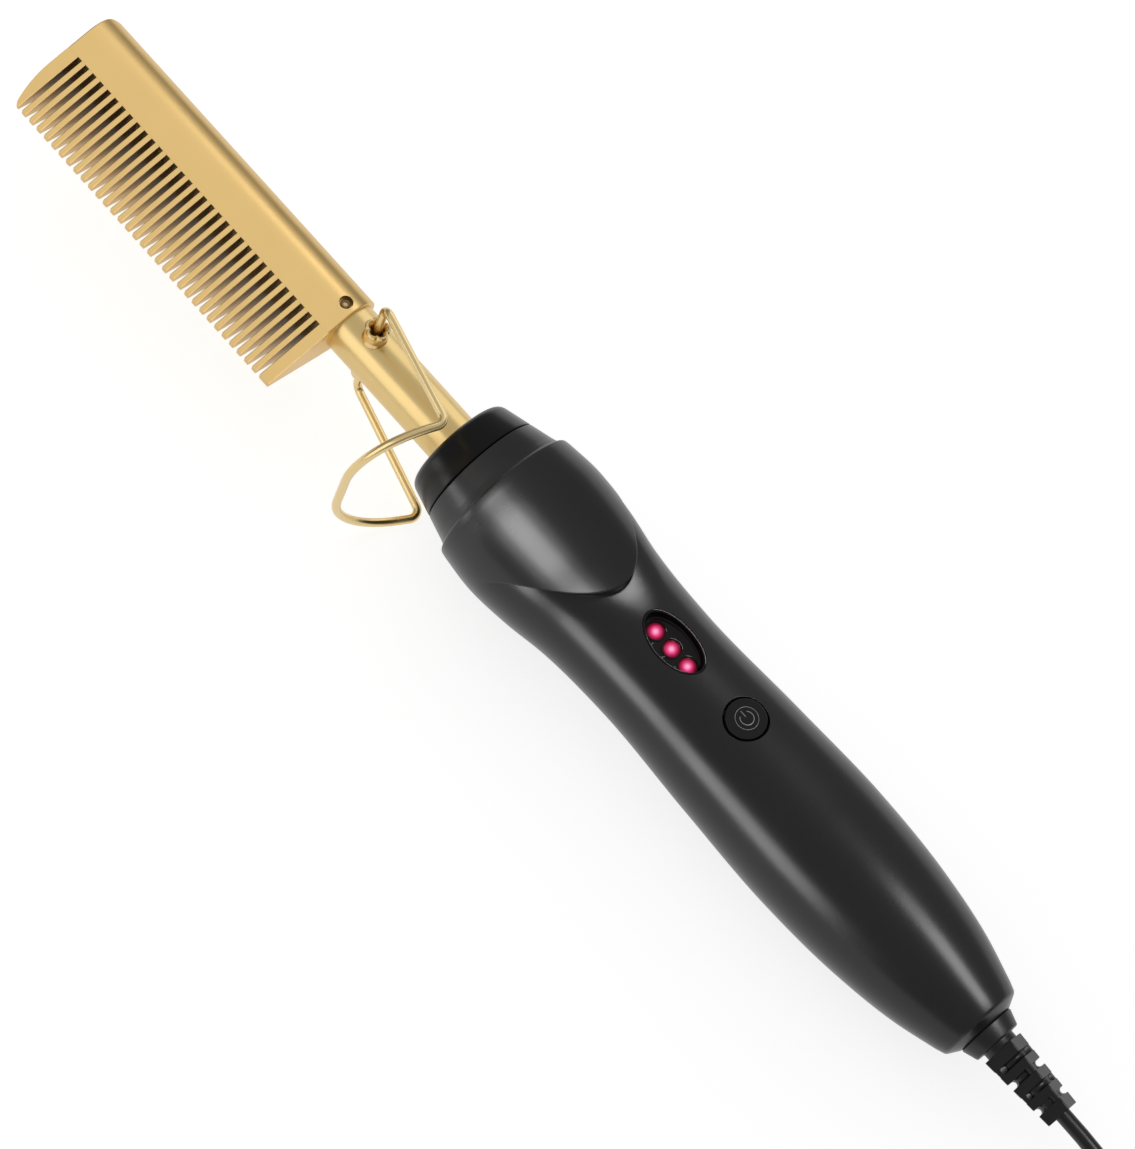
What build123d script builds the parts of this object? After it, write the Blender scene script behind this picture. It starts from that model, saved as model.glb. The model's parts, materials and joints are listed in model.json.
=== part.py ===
from build123d import *
import os
from math import asin, atan2, cos, degrees, pi, radians, sin, sqrt, tan

# An electric hot comb: a heated wedge-shaped comb on a metal stem, a folding wire stand,
# a one-piece moulded handle with its electronics on a sled inside, and a mains lead.
# Everything rigid is drawn in the tool's own frame, in millimetres: X runs along the axis
# towards the cord with 0 at the collar's front face, Y points at the comb's spine (the teeth
# point to -Y), and Z points out of the face that carries the button. At the end the tool is
# laid on the table, leaning a little because the stand is wider than the handle.

# ---------------------------------------------------------------- driving dimensions, mm

# comb
comb_far_x, comb_near_x = -122.8, -35.5
spine_r = 7.4              # round spine, coaxial with the stem
tip_reach = 23.8           # axis to tooth tips
tip_half = 0.85            # half thickness at the tips
slot_count, slot_pitch, slot_width = 33, 2.5, 1.15
last_slot_x = -39.0
slot_root = 7.4            # axis to the closed end of each slot
far_tip_round, far_spine_round, near_round = 4.5, 2.0, 0.4
socket_depth = 12.0        # how far the stem goes into the comb
core_r, core_end_x = 4.7, -112.0
screw_x, screw_hole_r, screw_r = -38.3, 1.4, 1.25

# stem and stand
stem_r, stem_wall = 6.3, 0.8
stem_end_x = 26.0
pivot_x = -28.5
wire_r = 1.0
pivot_play = 0.06          # radial play of the wire in its eyelet
eyelet_shank_r, eyelet_height = 1.9, 10.9
wire_end = 5.3             # how near the axis the wire's ends stop
stand_corners = [          # the wire's corners, from the upper eyelet round to the lower one
    (pivot_x, 0.0, 20.7),
    (0.1, -8.2, 22.0),
    (-6.9, -27.4, 22.8),
    (-7.1, -27.6, -22.7),
    (3.6, -8.2, -22.0),
    (pivot_x, 0.0, -18.8),
]
stand_bends = [2.5, 2.2, 16.5, 16.5, 2.2, 2.5]
stand_swing = 77.0         # degrees, from folded back to standing

# collar and handle
collar_front_r, collar_back_r, collar_length = 12.75, 14.9, 8.1
groove = 0.25
spigot_r, spigot_end_x = 12.7, 21.0
cavity_r, cavity_end_x = 12.6, 140.0
tail_x = 170.5
tail_wall = 8.0
tail_hole_r = 3.95
crease_tip_x, crease_curve = 50.0, 0.062   # tongue edge in plan: x = tip - curve * y * y

# controls
window_x, window_length, window_width = 66.4, 17.6, 10.3
window_floor = 12.9        # height of the recessed floor above the axis
led_x, led_pitch, led_r, led_top = 66.7, 5.15, 2.0, 14.3
button_x, button_r, button_hole_r, button_top = 89.0, 4.65, 5.25, 16.5
button_travel = 0.6
board_top = 4.0
board_thickness = 1.6

# cord and plug
cord_d = 3.6
cord_length = 1800.0
boot_start_x, boot_end_x = 175.8, 194.5
coil_middle_r, coil_columns, coil_layers = 21.6, 3, 4
pin_r, pin_length, pin_spacing = 2.0, 19.0, 18.6
plug_width, plug_thickness, plug_length = 35.3, 13.7, 34.0

skin = 0.05                # clearance between fitted pieces of one body


# ---------------------------------------------------------------- helpers

def rod(radius, x_from, x_to, y=0.0, z=0.0):
    """A plain cylinder along X."""
    return extrude(Plane.YZ.offset(x_from) * Pos(y, z) * Circle(radius), x_to - x_from)


def post(radius, z_from, z_to, x=0.0, y=0.0):
    """A plain cylinder along Z."""
    return Pos(x, y, (z_from + z_to) / 2) * Cylinder(radius, z_to - z_from)


def block(x_from, x_to, y_from, y_to, z_from, z_to):
    """A box given by its limits."""
    middle = Pos((x_from + x_to) / 2, (y_from + y_to) / 2, (z_from + z_to) / 2)
    return middle * Box(x_to - x_from, y_to - y_from, z_to - z_from)


def turned(*outline):
    """Revolve an outline of (x, radius) points about the tool's axis."""
    return revolve(make_face(Polyline(*outline, close=True)), Axis.X)


def turned_upright(*outline):
    """Revolve an outline of (radius, z) points about Z."""
    return revolve(make_face(Plane.XZ * Polyline(*outline, close=True)), Axis.Z)


# ---------------------------------------------------------------- comb and heater

def wedge_section():
    """Round spine with two flat flanks that run down tangentially to the tooth tips."""
    flank_angle = asin(spine_r / sqrt(tip_reach**2 + tip_half**2)) - atan2(tip_half, tip_reach)
    touch_y, touch_z = -spine_r * sin(flank_angle), spine_r * cos(flank_angle)
    flanks = make_face(Polyline(
        (-tip_reach, -tip_half), (-tip_reach, tip_half), (touch_y, touch_z), (touch_y, -touch_z),
        close=True))
    return flanks + Circle(spine_r)


def comb_plan():
    """The comb seen flat: a rectangle whose far end curves in to the last tooth's tip."""
    length, depth = comb_near_x - comb_far_x, tip_reach + spine_r
    plan = Pos((comb_far_x + comb_near_x) / 2, (spine_r - tip_reach) / 2) * Rectangle(length, depth)
    rounds = {(0, 0): far_tip_round, (0, 1): far_spine_round, (1, 0): near_round, (1, 1): near_round}
    for (end, side), radius in rounds.items():
        target = Vector((comb_far_x, comb_near_x)[end], (-tip_reach, spine_r)[side])
        corner = plan.vertices().sort_by_distance(target)[0]
        plan = fillet(corner, radius)
    return plan


def make_comb():
    body = extrude(Plane.YZ.offset(comb_far_x) * wedge_section(), comb_near_x - comb_far_x)
    body &= extrude(comb_plan(), 2 * spine_r, both=True)
    body -= rod(core_r, core_end_x, comb_near_x + 1)
    body -= rod(stem_r + skin / 2, comb_near_x - socket_depth, comb_near_x + 1)
    body -= post(screw_hole_r, 0, spine_r + 1, screw_x)
    slot = Box(slot_width, tip_reach - slot_root + 2, 3 * spine_r)
    slot_y = -(tip_reach + slot_root) / 2 - 1
    slots = [Pos(last_slot_x - i * slot_pitch, slot_y) * slot for i in range(slot_count)]
    return body - slots


def make_set_screw():
    body = post(screw_r, 4.6, 6.9, screw_x)
    drive = Pos(screw_x, 0, 6.9) * extrude(RegularPolygon(0.75, 6), -1.2)
    return body - drive


heater_start_x, heater_end_x = -110.0, -50.0
stack_half = 1.5


def make_heater_wedge(side):
    """One half-moon bar that presses the heater stack against the bore of the comb."""
    bar = rod(core_r - skin, heater_start_x, heater_end_x)
    keep = block(heater_start_x, heater_end_x, -core_r, core_r, stack_half + skin, core_r)
    return bar & (keep if side > 0 else mirror(keep, Plane.XY))


def make_heater_insulation():
    sleeve = block(heater_start_x, heater_end_x, -3.9, 3.9, -stack_half, stack_half)
    return sleeve - block(heater_start_x - 1, heater_end_x + 1, -3.7, 3.7, -1.3, 1.3)


def make_electrodes():
    strip = block(heater_start_x + 1, heater_end_x - 0.5, -3.3, 3.3, 0.85, 1.25)
    return [strip, mirror(strip, Plane.XY)]


def make_ptc_heaters():
    pill_length, gap = 18.0, 1.0
    starts = [heater_start_x + 2 + i * (pill_length + gap) for i in range(3)]
    return [block(x, x + pill_length, -3.2, 3.2, -0.8, 0.8) for x in starts]


lead_r, lead_y, lead_z = 0.7, 2.4, 1.9
lead_start_x, lead_end_x = -49.4, 52.0
fuse_start_x, fuse_end_x = -18.0, -7.0
sensor_y, sensor_z = 0.9, -2.7


def make_heater_leads():
    return [
        rod(lead_r, lead_start_x, lead_end_x, lead_y, lead_z),
        rod(lead_r, lead_start_x, fuse_start_x, -lead_y, lead_z),
        rod(lead_r, fuse_end_x, lead_end_x, -lead_y, lead_z),
    ]


def make_sensor_leads():
    return [rod(0.45, -46.0, lead_end_x, y, sensor_z) for y in (-sensor_y, sensor_y)]


def make_thermistor():
    bead = rod(1.5, -49.3, -46.0, 0, sensor_z)
    return fillet(bead.edges().group_by(Axis.X)[0], 0.7)


def make_thermal_fuse():
    case = rod(1.5, fuse_start_x, fuse_end_x, -lead_y, lead_z)
    return fillet(case.edges().group_by(Axis.X)[-1], 0.6)


# ---------------------------------------------------------------- stem, eyelets and stand

def make_stem():
    tube = rod(stem_r, comb_near_x - socket_depth, stem_end_x)
    tube -= rod(stem_r - stem_wall, comb_near_x - socket_depth - 1, stem_end_x + 1)
    tube -= post(eyelet_shank_r + skin, -10, 10, pivot_x)
    return tube - post(screw_r + skin, 0, 10, screw_x)


def make_eyelet(side):
    """Flared tubular rivet in the wall of the stem, with a rolled lip and a funnel mouth."""
    bore = wire_r + pivot_play
    lip = eyelet_height
    shape = turned_upright(
        (bore, 5.0), (bore, lip - 2.6), (1.55, lip - 1.4), (2.1, lip - 0.5), (2.45, lip),
        (2.9, lip - 0.25), (3.05, lip - 0.75), (2.8, lip - 1.3), (2.55, lip - 2.4),
        (2.6, 6.9), (2.95, 5.75), (eyelet_shank_r, 5.75), (eyelet_shank_r, 5.0))
    shape -= rod(stem_r + skin / 2, -5, 5) - post(eyelet_shank_r, 0, 10)
    shape = Pos(pivot_x) * shape
    return shape if side > 0 else mirror(shape, Plane.XY)


def make_wire_stand():
    """One bent wire: two legs from the eyelets, joined by a wide U-shaped foot."""
    ends = [(pivot_x, 0.0, wire_end), (pivot_x, 0.0, -wire_end)]
    path = FilletPolyline(ends[0], *stand_corners, ends[1], radius=stand_bends)
    section = Plane(origin=path @ 0, z_dir=path % 0) * Circle(wire_r)
    return sweep(section, path=path)


# ---------------------------------------------------------------- collar and handle

def make_collar():
    outer = turned(
        (0.0, 0.0), (0.0, collar_front_r - 2.0), (0.6, collar_front_r - 0.75),
        (1.9, collar_front_r + 0.4), (collar_length, collar_back_r), (collar_length, 0.0))
    cup = outer + rod(spigot_r, collar_length - 1, spigot_end_x)
    cup -= rod(10.6, 4.2, spigot_end_x + 1)
    return cup - rod(stem_r + skin, -1, 5)


def make_mica_washer():
    return rod(10.5, 4.25, 5.25) - rod(stem_r + skin, 4, 6)


def make_stem_flange():
    """Pressed steel flange that holds the stem against the inside of the collar."""
    flange = rod(10.2, 5.3, 6.5) + rod(stem_r + 1.1, 6.5, 12.0)
    return flange - rod(stem_r + skin, 5, 13)


def bulb_profile(lift):
    """Radius points of the bulb's back slope; lift raises it to make the tongue."""
    return [(27.0, 18.96 - 0.35 * lift), (38.0, 17.95 + 0.6 * lift), (52.0, 15.98 + lift)]


def make_barrel():
    """One-piece moulded sleeve: neck, bulb with a tongue over the control face, and grip."""
    front_x = collar_length + groove
    neck = Polyline((front_x, spigot_r + skin), (front_x, 14.95), (13.4, 16.3))
    blend = Spline((13.4, 16.3), (14.9, 16.85), (15.6, 17.7), tangents=[(1, 0.27), (0.3, 1)])
    rim = ThreePointArc((15.6, 17.7), (15.8, 18.05), (16.2, 18.2))
    grip = Spline(
        (16.2, 18.2), (25.1, 19.0), (36.4, 18.15), (47.0, 16.45), (64.8, 15.45), (92.9, 16.5),
        (119.0, 17.2), (140.0, 16.0), (156.9, 13.3), (166.4, 10.7),
        tangents=[(1, 0.15), (1, -0.32)])
    corner = ThreePointArc((166.4, 10.7), (168.4, 9.75), (169.6, 8.3))
    inside = Polyline(
        (169.6, 8.3), (tail_x, 6.6), (tail_x, tail_hole_r), (tail_x - tail_wall, tail_hole_r),
        (tail_x - tail_wall, 7.4), (cavity_end_x, cavity_r), (spigot_end_x + 0.5, cavity_r),
        (spigot_end_x + 0.5, spigot_r + skin), (front_x, spigot_r + skin))
    barrel = revolve(make_face(neck + blend + rim + grip + corner + inside), Axis.X)
    barrel += make_tongue()
    barrel -= extrude(window_plan(0), 20)
    return barrel - post(button_hole_r, 5, 20, button_x)


def make_tongue():
    """The bulb's back slope carried on over the control face, cut to a parabola in plan."""
    slope = Spline(*bulb_profile(0.55))
    under = Polyline((52.0, 16.53), (52.0, 14.5), (27.0, 14.5), (27.0, 18.96 - 0.35 * 0.55))
    raised = revolve(make_face(slope + under), Axis.X)
    reach = 21.0
    widths = [-reach, -reach / 2, 0.0, reach / 2, reach]
    edge = Spline(*[(crease_tip_x - crease_curve * y * y, y) for y in widths])
    back = Polyline(edge @ 1, (20.0, reach), (20.0, -reach), edge @ 0)
    plan = make_face(edge + back)
    return raised & extrude(plan, 25)


def window_plan(inset):
    return Pos(window_x) * Ellipse(window_length / 2 - inset, window_width / 2 - inset)


def make_window_bezel():
    """Oval cup glued into the handle: a thin rim round a sunken floor with three holes."""
    cup = extrude(Pos(0, 0, 11.2) * window_plan(skin), 10)
    cup &= turned((50.0, 0.0), (50.0, 15.75), (66.0, 15.4), (82.0, 15.9), (82.0, 0.0))
    cup -= extrude(Pos(0, 0, window_floor) * window_plan(0.9), 10)
    holes = [post(led_r + skin, 5, 20, x) for x in led_places()]
    return cup - holes


def led_places():
    return [led_x + i * led_pitch for i in (-1, 0, 1)]


def make_led(x):
    flange = post(led_r + 0.35, 9.45, 10.3, x)
    dome = post(led_r, 9.45, led_top - led_r, x) + Pos(x, 0, led_top - led_r) * Sphere(led_r)
    return flange + dome


def make_led_holder():
    return block(led_x - 8.3, led_x + 8.3, -3.0, 3.0, board_top, 9.4)


def make_button():
    """Push button cap with a crowned top, a retaining flange and a nib for the switch."""
    cap = turned_upright(
        (0, 8.5), (1.3, 8.5), (1.3, 9.8), (6.0, 9.8), (6.0, 10.6), (button_r, 10.6),
        (button_r, button_top - 0.8), (button_r - 0.1, button_top - 0.56),
        (button_r - 0.4, button_top - 0.4), (button_r - 2.2, button_top - 0.12), (0, button_top))
    return Pos(button_x) * cap


def make_tact_switch():
    case = block(button_x - 3, button_x + 3, -3, 3, board_top, 7.5)
    return case - post(1.8, 5.8, 8, button_x)


def make_plunger():
    return post(1.7, 6.7, 8.45, button_x)


# ---------------------------------------------------------------- sled and electronics

sled_start_x, sled_end_x = 24.0, 150.0
board_start_x, board_end_x, board_half = 52.0, 128.0, 11.3
board_under = board_top - board_thickness
screw_places = [54.6, 125.4]
bridge_start_x, bridge_end_x = 138.0, 147.0
clamp_screw_y = 5.4


def make_sled():
    """Half-round tray that slides into the handle and carries the board and cord clamp."""
    under = board_under - skin
    shell = rod(cavity_r - 0.15, sled_start_x, 139.0) - rod(10.9, sled_start_x + 1.5, 141.0)
    tray = shell & block(sled_start_x, sled_end_x, -13, 13, -13, under)
    posts = [post(2.3, -11.2, under, x) for x in screw_places]
    tray += posts
    tray -= [post(0.8, -6, 5, x) for x in screw_places]
    tray -= block(sled_start_x - 1, sled_start_x + 2, -7.5, 7.5, -7.5, 5)
    tray += rod(cavity_r - 0.15, 136.5, 139.0) & block(136, 140, -13, 13, -13, -cord_d / 2 - skin)
    bridge = block(bridge_start_x - 1, bridge_end_x, -8, 8, -7, -cord_d / 2 - skin)
    bridge += [block(bridge_start_x, bridge_end_x, min(a, b), max(a, b), -3, cord_d / 2)
               for a, b in ((-8, -2.4), (8, 2.4))]
    bridge -= [post(1.0, -8, 4, (bridge_start_x + bridge_end_x) / 2, s * clamp_screw_y) for s in (-1, 1)]
    return tray + bridge


def make_board():
    board = block(board_start_x, board_end_x, -board_half, board_half, board_under, board_top)
    holes = [post(1.1, 0, 6, x) for x in screw_places]
    return board - holes


def make_board_screws():
    profile = ((0, -4.5), (0.75, -4.5), (0.75, board_top + skin), (1.9, board_top + skin),
               (1.6, board_top + 1.2), (0, board_top + 1.2))
    screw = turned_upright(*profile)
    return [Pos(x) * screw for x in screw_places]


def make_controller():
    body = block(100, 110, -2, 2, board_top + 0.1, board_top + 1.6)
    legs = [block(100.7 + i * 1.27, 101.1 + i * 1.27, -3.1, 3.1, board_top, board_top + 0.6)
            for i in range(7)]
    return body + legs


def make_triac():
    body = block(113, 120.5, -4, 4, board_top + 0.05, board_top + 3.0)
    tab = block(120.5, 122.6, -3.6, 3.6, board_top + 0.05, board_top + 1.2)
    return chamfer(body.edges().group_by(Axis.Z)[-1], 0.5) + tab


def make_film_capacitor():
    body = block(98, 111, -3, 3, board_under - 9.1, board_under - skin)
    return fillet(body.edges().filter_by(Axis.Z), 0.8)


def make_bulk_capacitor():
    can = rod(4.0, 76, 88, 0, board_under - 4.1)
    return fillet(can.edges(), 0.6)


def make_cord_clamp():
    bar = block(bridge_start_x + 1, bridge_end_x - 1, -8, 8, cord_d / 2 + skin, 4.3)
    bar = fillet(bar.edges().filter_by(Axis.X).group_by(Axis.Z)[-1], 0.8)
    middle = (bridge_start_x + bridge_end_x) / 2
    return bar - [post(1.25, 0, 6, middle, s * clamp_screw_y) for s in (-1, 1)]


def make_clamp_screws():
    profile = ((0, -6), (0.95, -6), (0.95, 4.35), (1.9, 4.35), (1.6, 5.6), (0, 5.6))
    screw = turned_upright(*profile)
    middle = (bridge_start_x + bridge_end_x) / 2
    return [Pos(middle, s * clamp_screw_y) * screw for s in (-1, 1)]


def make_cord_cores():
    """The two insulated cores, from the end of the jacket up and over the end of the board."""
    cores = []
    for side in (-1, 1):
        path = FilletPolyline(
            (135.75, side * 0.88, 0), (133.0, side * 1.5, 0.3), (129.8, side * 3.4, board_top + 0.95),
            (120.0, side * 5.2, board_top + 0.95), radius=[1.6, 1.6])
        section = Plane(origin=path @ 0, z_dir=path % 0) * Circle(0.85)
        cores.append(sweep(section, path=path))
    return cores


def make_jacket_end():
    return rod(cord_d / 2, 136.0, boot_end_x)


# ---------------------------------------------------------------- strain relief

boot_front_half, boot_back_half = 5.5, 4.35
web_half, boot_core_r = 0.85, 2.9
notch_width = 1.6
cross_notches = [179.5, 187.1]     # cut in from the top and bottom corners
side_notches = [183.2, 190.8]      # cut in from the two side corners


def make_strain_relief():
    """Flange and cone at the tail, then a square tapered boot with alternating notches."""
    base = turned(
        (tail_x - tail_wall - 2, 0), (tail_x - tail_wall - 2, 6.4), (tail_x - tail_wall - skin, 6.4),
        (tail_x - tail_wall - skin, tail_hole_r - skin), (tail_x + skin, tail_hole_r - skin),
        (tail_x + skin, 6.85), (174.2, 5.65), (174.2, 3.9), (boot_start_x, 3.9), (boot_start_x, 0))
    start = Plane.YZ.offset(boot_start_x) * Rot(0, 0, 45) * Rectangle(*[boot_front_half * sqrt(2)] * 2)
    end = Plane.YZ.offset(boot_end_x) * Rot(0, 0, 45) * Rectangle(*[boot_back_half * sqrt(2)] * 2)
    boot = loft([start, end])
    core = rod(boot_core_r, boot_start_x, boot_end_x)
    for x in cross_notches:
        boot -= block(x - notch_width / 2, x + notch_width / 2, -7, 7, web_half, 7) - core
        boot -= block(x - notch_width / 2, x + notch_width / 2, -7, 7, -7, -web_half) - core
    for x in side_notches:
        boot -= block(x - notch_width / 2, x + notch_width / 2, web_half, 7, -7, 7) - core
        boot -= block(x - notch_width / 2, x + notch_width / 2, -7, -web_half, -7, 7) - core
    return base + boot - rod(cord_d / 2 + 0.01, 100, 200)


# ---------------------------------------------------------------- how the tool lies

# The folded stand's lower leg and the grip touch the table, so the axis dips to the tail.
grip_x, grip_r = 127.8, 17.08
leg_x, _, leg_z = stand_corners[4]
lean = degrees(asin((wire_r - leg_z - grip_r) / (grip_x - leg_x)))
laid_down = Rot(0, lean, 0)


# ---------------------------------------------------------------- cord, coil and plug

def lead_route(exit_point, exit_direction):
    """Points of the lead from the boot, down to the table and on to the coil."""
    floor_z = cord_d / 2
    x, z = exit_point.X, exit_point.Z
    return [
        exit_point,
        exit_point + exit_direction * 13.0,
        Vector(x + 29.0, 3.0, z - 5.0),
        Vector(x + 44.0, 8.3, floor_z + 0.4),
        Vector(x + 58.0, 9.0, floor_z),
    ]


def tail_route(leave_point):
    """Points of the lead from the top of the coil to the back of the plug."""
    x, y, z = leave_point.X, leave_point.Y, leave_point.Z
    plug_z = plug_thickness / 2
    return [
        leave_point,
        Vector(x + 14.0, y - 0.3, z - 0.2),
        Vector(x + 29.0, y - 3.2, plug_z + 0.7),
        Vector(x + 41.0, y - 3.4, plug_z),
    ]


def tube_along(points, name):
    """A round tube on straight runs joined by the largest arcs that the runs allow."""
    radii = []
    for before, here, after in zip(points, points[1:], points[2:]):
        turn = (here - before).get_angle(after - here)
        shorter = min((here - before).length, (after - here).length)
        radii.append(0.45 * shorter / tan(radians(turn) / 2))
    path = FilletPolyline(*points, radius=radii)
    tube = sweep(Plane(origin=path @ 0, z_dir=path % 0) * Circle(cord_d / 2), path=path)
    print(name, "arc radii", [round(r, 1) for r in radii], "length", round(path.length, 1),
          "volume ratio", round(tube.volume / (pi * cord_d**2 / 4 * path.length), 4))
    return tube, path.length


def coil_ring(grow, bottom):
    """Ring with the section of the bundled turns, grown all round, but no lower than bottom."""
    width, height = coil_columns * cord_d + 2 * grow, coil_layers * cord_d + grow - bottom
    section = RectangleRounded(width, height, cord_d / 2 - 0.05 + grow)
    return revolve(Plane.XZ * Pos(coil_middle_r, bottom + height / 2) * section, Axis.Z)


def make_coil(centre):
    """Outer shape of the put-away turns, squeezed a little where the tie goes round them."""
    squeezed = coil_ring(-0.5, 0.5) & tie_zone()
    return Pos(centre.X, centre.Y) * (coil_ring(0, 0) - tie_zone() + squeezed)


def tie_zone():
    return block(coil_middle_r - 8, coil_middle_r + 8, -4, 4, -1, 20)


def make_tie(centre):
    """Flat band round the bundle of turns."""
    band = (coil_ring(0.3, 0) & block(10, 30, -3.8, 3.8, -1, 20)) - coil_ring(-0.4, 0.4)
    return Pos(centre.X, centre.Y) * band


def make_plug():
    """Flat two-pin plug body: its pins point to -X and its cord end to +X."""
    half = plug_width / 2
    side = Spline((0, half), (12, 12.0), (plug_length, 5.2), tangents=[(0.6, -1), (1, -0.1)])
    face_side = Polyline((0, half), (-5.5, half), (-5.5, -half), (0, -half))
    other = Spline((0, -half), (12, -12.0), (plug_length, -5.2), tangents=[(0.6, 1), (1, 0.1)])
    back = Line((plug_length, 5.2), (plug_length, -5.2))
    body = extrude(make_face(side + face_side + other + back), plug_thickness / 2, both=True)
    body = chamfer(body.edges().group_by(Axis.Z)[-1] + body.edges().group_by(Axis.Z)[0], 1.6)
    tail = extrude(Plane.YZ.offset(plug_length) * Circle(4.2), 12, taper=5)
    return body + tail


def make_pins():
    pin = rod(pin_r, -5.5 - pin_length + pin_r, -5.5) + Pos(-5.5 - pin_length + pin_r) * Sphere(pin_r)
    return [Pos(0, s * pin_spacing / 2) * pin for s in (-1, 1)]


# ---------------------------------------------------------------- assembly

def tool_parts():
    """Every piece of the tool itself, in the tool's frame."""
    parts = {
        "comb_head": make_comb(),
        "comb_set_screw": make_set_screw(),
        "heater_wedge_upper": make_heater_wedge(1),
        "heater_wedge_lower": make_heater_wedge(-1),
        "heater_insulation": make_heater_insulation(),
        "heater_electrodes": make_electrodes(),
        "ptc_heaters": make_ptc_heaters(),
        "heater_leads": make_heater_leads(),
        "sensor_leads": make_sensor_leads(),
        "thermistor": make_thermistor(),
        "thermal_fuse": make_thermal_fuse(),
        "stem_tube": make_stem(),
        "stand_eyelet_upper": make_eyelet(1),
        "stand_eyelet_lower": make_eyelet(-1),
        "wire_stand": make_wire_stand(),
        "front_collar": make_collar(),
        "mica_washer": make_mica_washer(),
        "stem_flange": make_stem_flange(),
        "handle_barrel": make_barrel(),
        "window_bezel": make_window_bezel(),
        "led_holder": make_led_holder(),
        "power_button": make_button(),
        "switch_plunger": make_plunger(),
        "tact_switch": make_tact_switch(),
        "board_sled": make_sled(),
        "control_board": make_board(),
        "board_screws": make_board_screws(),
        "controller_chip": make_controller(),
        "triac": make_triac(),
        "film_capacitor": make_film_capacitor(),
        "bulk_capacitor": make_bulk_capacitor(),
        "cord_clamp": make_cord_clamp(),
        "clamp_screws": make_clamp_screws(),
        "cord_cores": make_cord_cores(),
        "jacket_end": make_jacket_end(),
        "strain_relief": make_strain_relief(),
    }
    for number, x in enumerate(led_places(), start=1):
        parts[f"led_{number}"] = make_led(x)
    return parts


def as_solid(piece):
    """One compound for a node, also where the node is a group of separate solids."""
    return Compound(list(piece)) if isinstance(piece, list) else piece


def cord_parts(home):
    """The lead, its coil, tie and plug, in the row frame."""
    placed = home * laid_down
    exit_point = (placed * Pos(boot_end_x, 0, 0)).position
    direction = Vector(cos(radians(lean)), 0, -sin(radians(lean)))
    route = lead_route(exit_point, direction)
    outer_turn = coil_middle_r + (coil_columns - 1) * cord_d / 2
    centre = Vector(route[-1].X, route[-1].Y - outer_turn)
    run, run_length = tube_along(route, "cord_run")
    leave = Vector(centre.X, centre.Y + outer_turn, (coil_layers - 0.5) * cord_d)
    back = tail_route(leave)
    tail, tail_length = tube_along(back, "cord_tail")
    plug_at = Pos(back[-1].X + plug_length + 12.1, back[-1].Y, plug_thickness / 2) * Rot(0, 0, 180)
    turns = coil_columns * coil_layers
    total = run_length + tail_length + turns * 2 * pi * coil_middle_r
    print("cord route, mm:", [tuple(round(c, 2) for c in p) for p in route + back])
    print("coil centre", round(centre.X, 2), round(centre.Y, 2), "cord length", round(total),
          "of", cord_length)
    return {
        "cord_run": run,
        "cord_coil": make_coil(centre),
        "cord_tie": make_tie(centre),
        "cord_tail": tail,
        "plug_body": plug_at * make_plug(),
        "plug_pins": [plug_at * pin for pin in make_pins()],
    }


def main():
    laid = {name: laid_down * as_solid(piece) for name, piece in tool_parts().items()}
    box = Compound(list(laid.values())).bounding_box()
    home = Pos(-(box.min.X + box.max.X) / 2, -(box.min.Y + box.max.Y) / 2, -box.min.Z)
    print("lean", round(lean, 4), "home", [round(c, 4) for c in home.position])
    print("stand swings", stand_swing, "degrees, button travels", button_travel, "mm")
    for name, (x, z) in {"stand": (pivot_x, 0), "button": (button_x, button_top)}.items():
        print(name, [round(c, 4) for c in (home * laid_down * Pos(x, 0, z)).position])
    pieces = {name: home * piece for name, piece in laid.items()}
    pieces |= {name: as_solid(piece) for name, piece in cord_parts(home).items()}
    os.makedirs("parts", exist_ok=True)
    for name, piece in pieces.items():
        export_step(piece, f"parts/{name}.step")
    print(len(pieces), "nodes written")


main()
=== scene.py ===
# %% [markdown]
# # An electric hot comb, dressed for rendering
#
# The CAD model gives every piece its place and size. This file swaps the pieces that show for
# smooth surfaces, gives them procedural materials, and lights them. First come the helpers and
# the shared shader groups, then the tool's pieces from the comb to the plug, and last the pieces
# inside, the camera, the floor and the lights.

import json
import math

import bmesh
import bpy
import numpy as np
from mathutils import Matrix, Vector
from mathutils.geometry import delaunay_2d_cdt


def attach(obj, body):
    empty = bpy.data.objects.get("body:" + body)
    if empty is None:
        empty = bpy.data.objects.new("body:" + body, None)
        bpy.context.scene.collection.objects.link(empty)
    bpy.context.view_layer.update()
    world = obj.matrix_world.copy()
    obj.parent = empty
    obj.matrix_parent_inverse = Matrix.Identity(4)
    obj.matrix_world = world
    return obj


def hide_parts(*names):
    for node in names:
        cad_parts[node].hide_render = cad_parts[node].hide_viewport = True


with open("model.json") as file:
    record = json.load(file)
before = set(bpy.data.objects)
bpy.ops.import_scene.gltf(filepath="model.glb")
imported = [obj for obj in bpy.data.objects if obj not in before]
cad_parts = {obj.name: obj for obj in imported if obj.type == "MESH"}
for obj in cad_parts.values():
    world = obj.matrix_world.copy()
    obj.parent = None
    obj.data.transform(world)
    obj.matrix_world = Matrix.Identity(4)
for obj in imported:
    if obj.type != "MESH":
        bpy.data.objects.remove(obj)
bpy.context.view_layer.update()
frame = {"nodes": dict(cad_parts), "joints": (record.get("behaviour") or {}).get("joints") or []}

# %% [markdown]
# ## The tool's own frame
#
# The tool leans a little as it lies, so it is easiest to shape it in its own frame: X along the
# axis to the lead with 0 at the collar's front, Y to the comb's spine and Z out of the control
# face, in millimetres. The two joints say where that frame is: the button slides along -Z, and the
# stand's hinge crosses the axis at a known X.

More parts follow.
